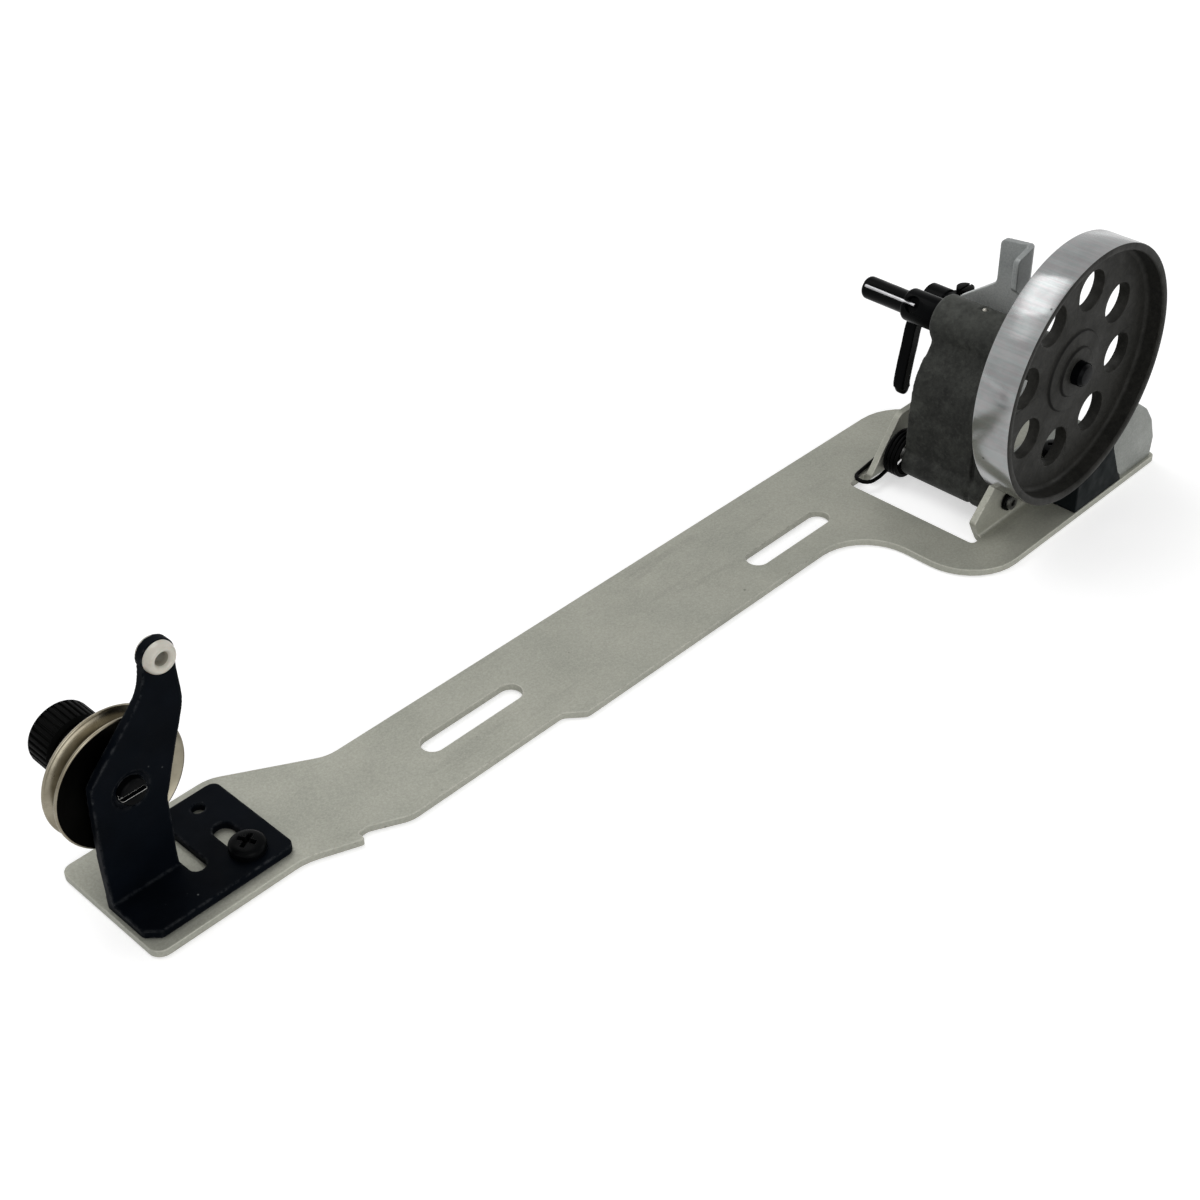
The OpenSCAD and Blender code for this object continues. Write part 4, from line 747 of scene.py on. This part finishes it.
latchShape = {"voxel": 0.16 * mm, "smooth": 8, "tip": 2.2 * mm, "tipRounds": 100}
latch = softCopy("trip_latch", "tripLatch", 0)
softenPiece(latch, latchShape["voxel"], latchShape["smooth"])
tipTop = min(point.co.z for point in latch.data.vertices) + latchShape["tip"]
pickEdges(latch, lambda place: place.z < tipTop)
bpy.ops.mesh.vertices_smooth(factor=0.5, repeat=latchShape["tipRounds"])
bpy.ops.object.mode_set(mode="OBJECT")
finishPiece(latch, "trip_latch", blackSteel, softAngle)
adjusterShape = {"edge": 0.1 * mm}
adjuster = softCopy("adjusting_screw", "adjustingScrew", adjusterShape["edge"])
finishPiece(adjuster, "adjusting_screw", blackSteel)

leverShape = {"voxel": 0.18 * mm, "smooth": 4, "x": 8 * mm, "sheet": 1.6 * mm, "near": -26.9 * mm,
              "bendOut": 2.1 * mm, "bendIn": 0.8 * mm, "low": 48.5 * mm, "high": 70 * mm, "top": 65.3 * mm,
              "foot": 56 * mm, "barZ": 58 * mm, "barL": 40 * mm, "sunk": 0.4 * mm}
s = leverShape
lever = softCopy("thumb_lever", "thumbLever", 0)
# the sheet's bend: the outer corner is cut to a round, the inner one gets a fillet
outX, outY = s["x"] + s["sheet"], s["near"] - s["sheet"]
corner = boxAt((outX - s["bendOut"], outY - pastFace, s["low"]),
               (outX + pastFace, outY + s["bendOut"], s["high"]))
cutWith(corner, barAlongZ(s["bendOut"], (outX - s["bendOut"], outY + s["bendOut"], s["barZ"]), s["barL"]))
cutWith(lever, corner)
fillet = boxAt((s["x"] - s["bendIn"], s["near"] - s["sunk"], s["foot"]),
               (s["x"] + s["sunk"], s["near"] + s["bendIn"], s["top"]))
hollow = barAlongZ(s["bendIn"], (s["x"] - s["bendIn"], s["near"] + s["bendIn"], s["barZ"]), s["barL"],
                   sides=40)
cutWith(fillet, hollow)
cutWith(lever, fillet, "UNION")
softenPiece(lever, s["voxel"], s["smooth"])
finishPiece(lever, "thumb_lever", leverMetal, softAngle)
print("latch and lever dressed")

# thread tension unit

armShape = {"voxel": 0.2 * mm, "smooth": 4}
arm = softCopy("tension_bracket", "tensionBracket", 0)
softenPiece(arm, armShape["voxel"], armShape["smooth"])
finishPiece(arm, "tension_bracket", blueBlack, softAngle)

eyeletShape = {"x": -218.3 * mm, "z": 55 * mm, "armY": 9.7 * mm, "sheet": 2.1 * mm, "outer": 3.5 * mm,
               "bore": 1.3 * mm, "front": 1.9 * mm, "back": 1.1 * mm, "neck": 2.2 * mm, "stainAndBoreShade": 1.5 * mm,
               "sides": 72, "smooth": 50}
s = eyeletShape
mid, half = (s["outer"] + s["bore"]) / 2, (s["outer"] - s["bore"]) / 2
front = [(mid + half * math.cos(math.radians(a)), s["armY"] - s["front"] * math.sin(math.radians(a)))
         for a in range(180, -1, -12)]
backY = s["armY"] + s["sheet"]
back = [(mid + half * math.cos(math.radians(a)), backY + s["back"] * math.sin(math.radians(a)))
        for a in range(0, 181, 15)]
neck = [(s["neck"], s["armY"]), (s["neck"], backY)]
eyelet = turnedPiece("threadEyelet", front + neck + back, s["x"], s["z"], s["sides"])
finishPiece(eyelet, "thread_eyelet", eyeletGlaze, s["smooth"])
eyelet.data.materials.append(eyeletBoreShade)
# faces near the axis, deep in the bore, take the painted shade
for face in eyelet.data.polygons:
    if math.hypot(face.center.x - s["x"], face.center.z - s["z"]) < s["stainAndBoreShade"]:
        face.material_index = 1

studShape = {"near": 8.5 * mm, "radius": 3 * mm, "edge": 0.35 * mm, "seatNear": 11.8 * mm,
             "seatFar": 14.54 * mm, "seat": 4.2 * mm, "far": 35.72 * mm, "slot": 1.1 * mm, "deep": 1.2 * mm,
             "farDeep": 2 * mm, "slotHalf": 5 * mm, "bevel": 0.05 * mm, "sides": 64,
             "slack": 0.01 * mm, "slackShare": 0.55, "brightArea": 3e-6}
s = studShape
studSection = [(0, s["near"]), (s["radius"] - s["edge"], s["near"]), (s["radius"], s["near"] + s["edge"]),
               (s["radius"], s["seatNear"]), (s["seat"], s["seatNear"]), (s["seat"], s["seatFar"]),
               (s["radius"], s["seatFar"]), (s["radius"], s["far"] - s["edge"]),
               (s["radius"] - s["edge"], s["far"]), (0, s["far"])]
stud = turnedPiece("tensionStud", studSection, studX, studZ, s["sides"], closed=False)
nearSlot = boxAt((studX - s["slotHalf"], s["near"] - pastFace, studZ - s["slot"] / 2),
                 (studX + s["slotHalf"], s["near"] + s["deep"], studZ + s["slot"] / 2))
farSlot = boxAt((studX - s["slot"] / 2, s["far"] - s["farDeep"], studZ - s["slotHalf"]),
                (studX + s["slot"] / 2, s["far"] + pastFace, studZ + s["slotHalf"]))
for cutter in (nearSlot, farSlot):
    cutWith(stud, cutter)
bevelEdges(stud, s["bevel"], angle=cornerAngle)
finishPiece(stud, "tension_stud", blackSteel, turnedAngle)
stud.data.materials.append(slotSteelSheen)
# the faces inside the near slot are bare steel, pale enough to be a painted highlight
for face in stud.data.polygons:
    place = face.center
    withinDepth = place.y < s["near"] + s["deep"] + s["slack"]
    inSlot = withinDepth and abs(place.z - studZ) < s["slot"] * s["slackShare"]
    if inSlot and face.area < s["brightArea"]:
        face.material_index = 1

discShape = {"plane": 15.4 * mm, "gap": 0.1 * mm, "sheet": 0.7 * mm, "bore": 3.06 * mm, "flat": 8 * mm,
             "outer": 14.7 * mm, "rise": 2 * mm, "steps": 24, "flare": 2.4, "sides": 128, "smooth": 40,
             "shadeR": 14.2 * mm, "facing": -0.1}


def discSection(side):
    s = discShape
    rise = s["rise"] - s["gap"]
    outerFace = []
    for i in range(s["steps"] + 1):
        radius = s["flat"] + (s["outer"] - s["flat"] - s["sheet"] / 2) * i / s["steps"]
        share = (radius - s["flat"]) / (s["outer"] - s["flat"])
        outerFace.append((radius, rise * share ** s["flare"]))
    inside = [(s["bore"], s["gap"])] + [(radius, s["gap"] + lift) for radius, lift in outerFace]
    tip = outerFace[-1]
    edge = arcPoints(tip[0], s["gap"] + tip[1] + s["sheet"] / 2, s["sheet"] / 2, -70, 100)
    outside = [(radius, s["gap"] + s["sheet"] + lift) for radius, lift in reversed(outerFace[:-1])]
    outside.append((s["bore"], s["gap"] + s["sheet"]))
    return [(radius, s["plane"] + side * along) for radius, along in inside + edge + outside]


for node, name, side in (("near_disc", "nearDisc", -1), ("far_disc", "farDisc", 1)):
    disc = turnedPiece(name, discSection(side), studX, studZ, discShape["sides"])
    finishPiece(disc, node, discNickel, discShape["smooth"])
    if side < 0:
        # the near disc's inward faces take the copy with the painted dark reflection
        disc.data.materials.append(discShade)
        for face in disc.data.polygons:
            reach = math.hypot(face.center.x - studX, face.center.z - studZ)
            if face.normal.y < discShape["facing"] and reach < discShape["shadeR"]:
                face.material_index = 1

keepNode("pressure_washer", blackSteel)

pressCoil = {"radius": 4.5 * mm, "near": 18.2 * mm, "pitch": 1.7 * mm, "turns": 3.6, "wire": 0.5 * mm,
             "lead": 1 * mm}
s = pressCoil
coil = coilPath(studX, studZ, s["radius"], s["near"], s["pitch"], s["turns"], 0)
coil = [coil[0] - Vector((0, s["lead"], 0))] + coil + [coil[-1] + Vector((0, s["lead"], 0))]
finishPiece(wireTube("tensionSpring", coil, s["wire"]), "tension_spring", springBlack, wireAngle)

nutShape = {"near": 25.42 * mm, "length": 9.5 * mm, "neck": 6 * mm, "neckL": 1.4 * mm, "radius": 7.3 * mm,
            "bore": 3.06 * mm, "grips": 32, "gripD": 0.5 * mm, "gripEdge": 0.12 * mm, "sideD": 0.15 * mm,
            "round": 0.8 * mm, "bevel": 0.1 * mm}


def gripNut(s):
    # a turned blank, every second side face sunk to leave straight grips
    low, high = s["near"] + s["neckL"], s["near"] + s["length"]
    section = [(s["bore"], s["near"]), (s["neck"], s["near"]), (s["neck"], low),
               (s["radius"] - s["round"], low), (s["radius"], low + s["round"]),
               (s["radius"], high - s["round"]), (s["radius"] - s["round"], high), (s["bore"], high)]
    piece = turnedPiece("thumbNut", section, studX, studZ, s["grips"] * 2)
    dropPicks(piece, "FACE")
    for face in piece.data.polygons:
        offset = face.center - Vector((studX, face.center.y, studZ))
        outermost = offset.length > s["radius"] - s["sideD"]
        side = outermost and low + s["round"] < face.center.y < high - s["round"]
        step = round(math.degrees(math.atan2(offset.z, offset.x)) / (180 / s["grips"]) - 0.5)
        face.select = side and step % 2 == 0
    bpy.ops.object.mode_set(mode="EDIT")
    bpy.ops.mesh.inset(thickness=s["gripEdge"], depth=-s["gripD"], use_individual=True)
    bpy.ops.object.mode_set(mode="OBJECT")
    bevelEdges(piece, s["bevel"], angle=cornerAngle)
    return piece


finishPiece(gripNut(nutShape), "thumb_nut", nutBlack, turnedAngle)
print("thread tension dressed")

# floor, light and camera

floorShape = {"size": 6.0, "z": -0.3 * mm, "tone": 0.8, "glow": 0.5, "near": 0.4, "far": 1.2}


def seenBy(tree, rays):
    # 1 for the kinds of ray that are named, 0 for the rest
    path = tree.nodes.new("ShaderNodeLightPath")
    seen = path.outputs[rays[0]]
    for ray in rays[1:]:
        larger = tree.nodes.new("ShaderNodeMath")
        larger.operation = "MAXIMUM"
        tree.links.new(seen, larger.inputs[0])
        tree.links.new(path.outputs[ray], larger.inputs[1])
        seen = larger.outputs[0]
    return seen


def buildStage(s):
    bpy.ops.object.select_all(action="DESELECT")
    bpy.ops.mesh.primitive_plane_add(size=s["size"], location=(0, 0, s["z"]))
    floor = bpy.context.object
    floor.name = "floor"
    material = bpy.data.materials.new("floorPaper")
    material.use_nodes = True
    tree = material.node_tree
    shader = tree.nodes["Principled BSDF"]
    shader.inputs["Base Color"].default_value = (s["tone"], s["tone"], s["tone"], 1)
    shader.inputs["Roughness"].default_value = 1
    shader.inputs["Specular IOR Level"].default_value = 0
    glow = tree.nodes.new("ShaderNodeEmission")
    glow.inputs["Color"].default_value = (1, 1, 1, 1)
    # the paper glows fully beyond the lamps' reach, so that a low camera sees no grey band
    place = tree.nodes.new("ShaderNodeTexCoord")
    reach = tree.nodes.new("ShaderNodeVectorMath")
    reach.operation = "LENGTH"
    tree.links.new(place.outputs["Object"], reach.inputs[0])
    level = tree.nodes.new("ShaderNodeMath")
    level.operation = "MULTIPLY"
    spread = ranged(tree, reach.outputs["Value"], (s["near"], s["far"]), (s["glow"], 1))
    tree.links.new(seenBy(tree, ("Is Camera Ray", "Is Glossy Ray")), level.inputs[0])
    tree.links.new(spread, level.inputs[1])
    tree.links.new(level.outputs[0], glow.inputs["Strength"])
    add = tree.nodes.new("ShaderNodeAddShader")
    tree.links.new(shader.outputs[0], add.inputs[0])
    tree.links.new(glow.outputs[0], add.inputs[1])
    tree.links.new(add.outputs[0], tree.nodes["Material Output"].inputs["Surface"])
    floor.data.materials.append(material)


buildStage(floorShape)


def buildWorld(level):
    world = bpy.data.worlds.new("studio")
    bpy.context.scene.world = world
    world.use_nodes = True
    tree = world.node_tree
    background = tree.nodes["Background"]
    background.inputs["Color"].default_value = (1, 1, 1, 1)
    # white to the camera and in reflections, and a soft light for all else
    seen = seenBy(tree, ("Is Camera Ray", "Is Transmission Ray", "Is Glossy Ray"))
    tree.links.new(ranged(tree, seen, (0, 1), (level, 1)), background.inputs["Strength"])


buildWorld(level=0.40)


def upright(place, right, up, back):
    return Matrix.Translation(place) @ Matrix((right, up, back)).transposed().to_4x4()


lampPlan = {
    "keyLamp": {"place": (-0.135, 0.42, 0.9), "aim": (-0.06, -0.02, 0.04), "size": 0.6, "power": 2.6},
    "bandLamp": {"place": (-0.55, 0.4, 0.75), "aim": (-0.06, -0.02, 0.04), "size": 0.4, "power": 0.42},
    "frontLamp": {"place": (-0.45, -0.95, 0.42), "aim": (-0.12, 0, 0.02), "size": 0.8, "power": 4.4},
    "tailLamp": {"place": (0.75, -0.5, 0.4), "aim": (0, -0.02, 0.03), "size": 0.5, "power": 1.2},
}
for name, lamp in lampPlan.items():
    light = bpy.data.lights.new(name, "AREA")
    light.shape = "SQUARE"
    light.size = lamp["size"]
    light.energy = lamp["power"]
    holder = bpy.data.objects.new(name, light)
    bpy.context.collection.objects.link(holder)
    # each lamp's sides follow Y as its aim allows, so that its reflection crosses the rim squarely
    back = (Vector(lamp["place"]) - Vector(lamp["aim"])).normalized()
    side = (Vector((0, 1, 0)) - back * back.y).normalized()
    holder.matrix_world = upright(lamp["place"], side, back.cross(side), back)

cameraPlan = {"place": (-357.95 * mm, -249.62 * mm, 283.36 * mm), "azimuth": -44.608, "elevation": 37.656,
              "roll": -1.672, "lens": 58.47, "sensor": 36, "clip": (0.01, 20)}


def buildCamera(plan):
    azimuth, elevation, roll = (math.radians(plan[k]) for k in ("azimuth", "elevation", "roll"))
    back = Vector((math.sin(azimuth) * math.cos(elevation), -math.cos(azimuth) * math.cos(elevation),
                   math.sin(elevation)))
    right = Vector((0, 0, 1)).cross(back).normalized()
    up = back.cross(right)
    turnedRight = math.cos(roll) * right + math.sin(roll) * up
    turnedUp = -math.sin(roll) * right + math.cos(roll) * up
    data = bpy.data.cameras.new("photoCamera")
    data.lens = plan["lens"]
    data.sensor_width = plan["sensor"]
    data.clip_start, data.clip_end = plan["clip"]
    camera = bpy.data.objects.new("photoCamera", data)
    bpy.context.collection.objects.link(camera)
    camera.matrix_world = upright(plan["place"], turnedRight, turnedUp, back)
    bpy.context.scene.camera = camera


buildCamera(cameraPlan)
bpy.context.scene.view_settings.view_transform = "Standard"
print("stage and camera set")
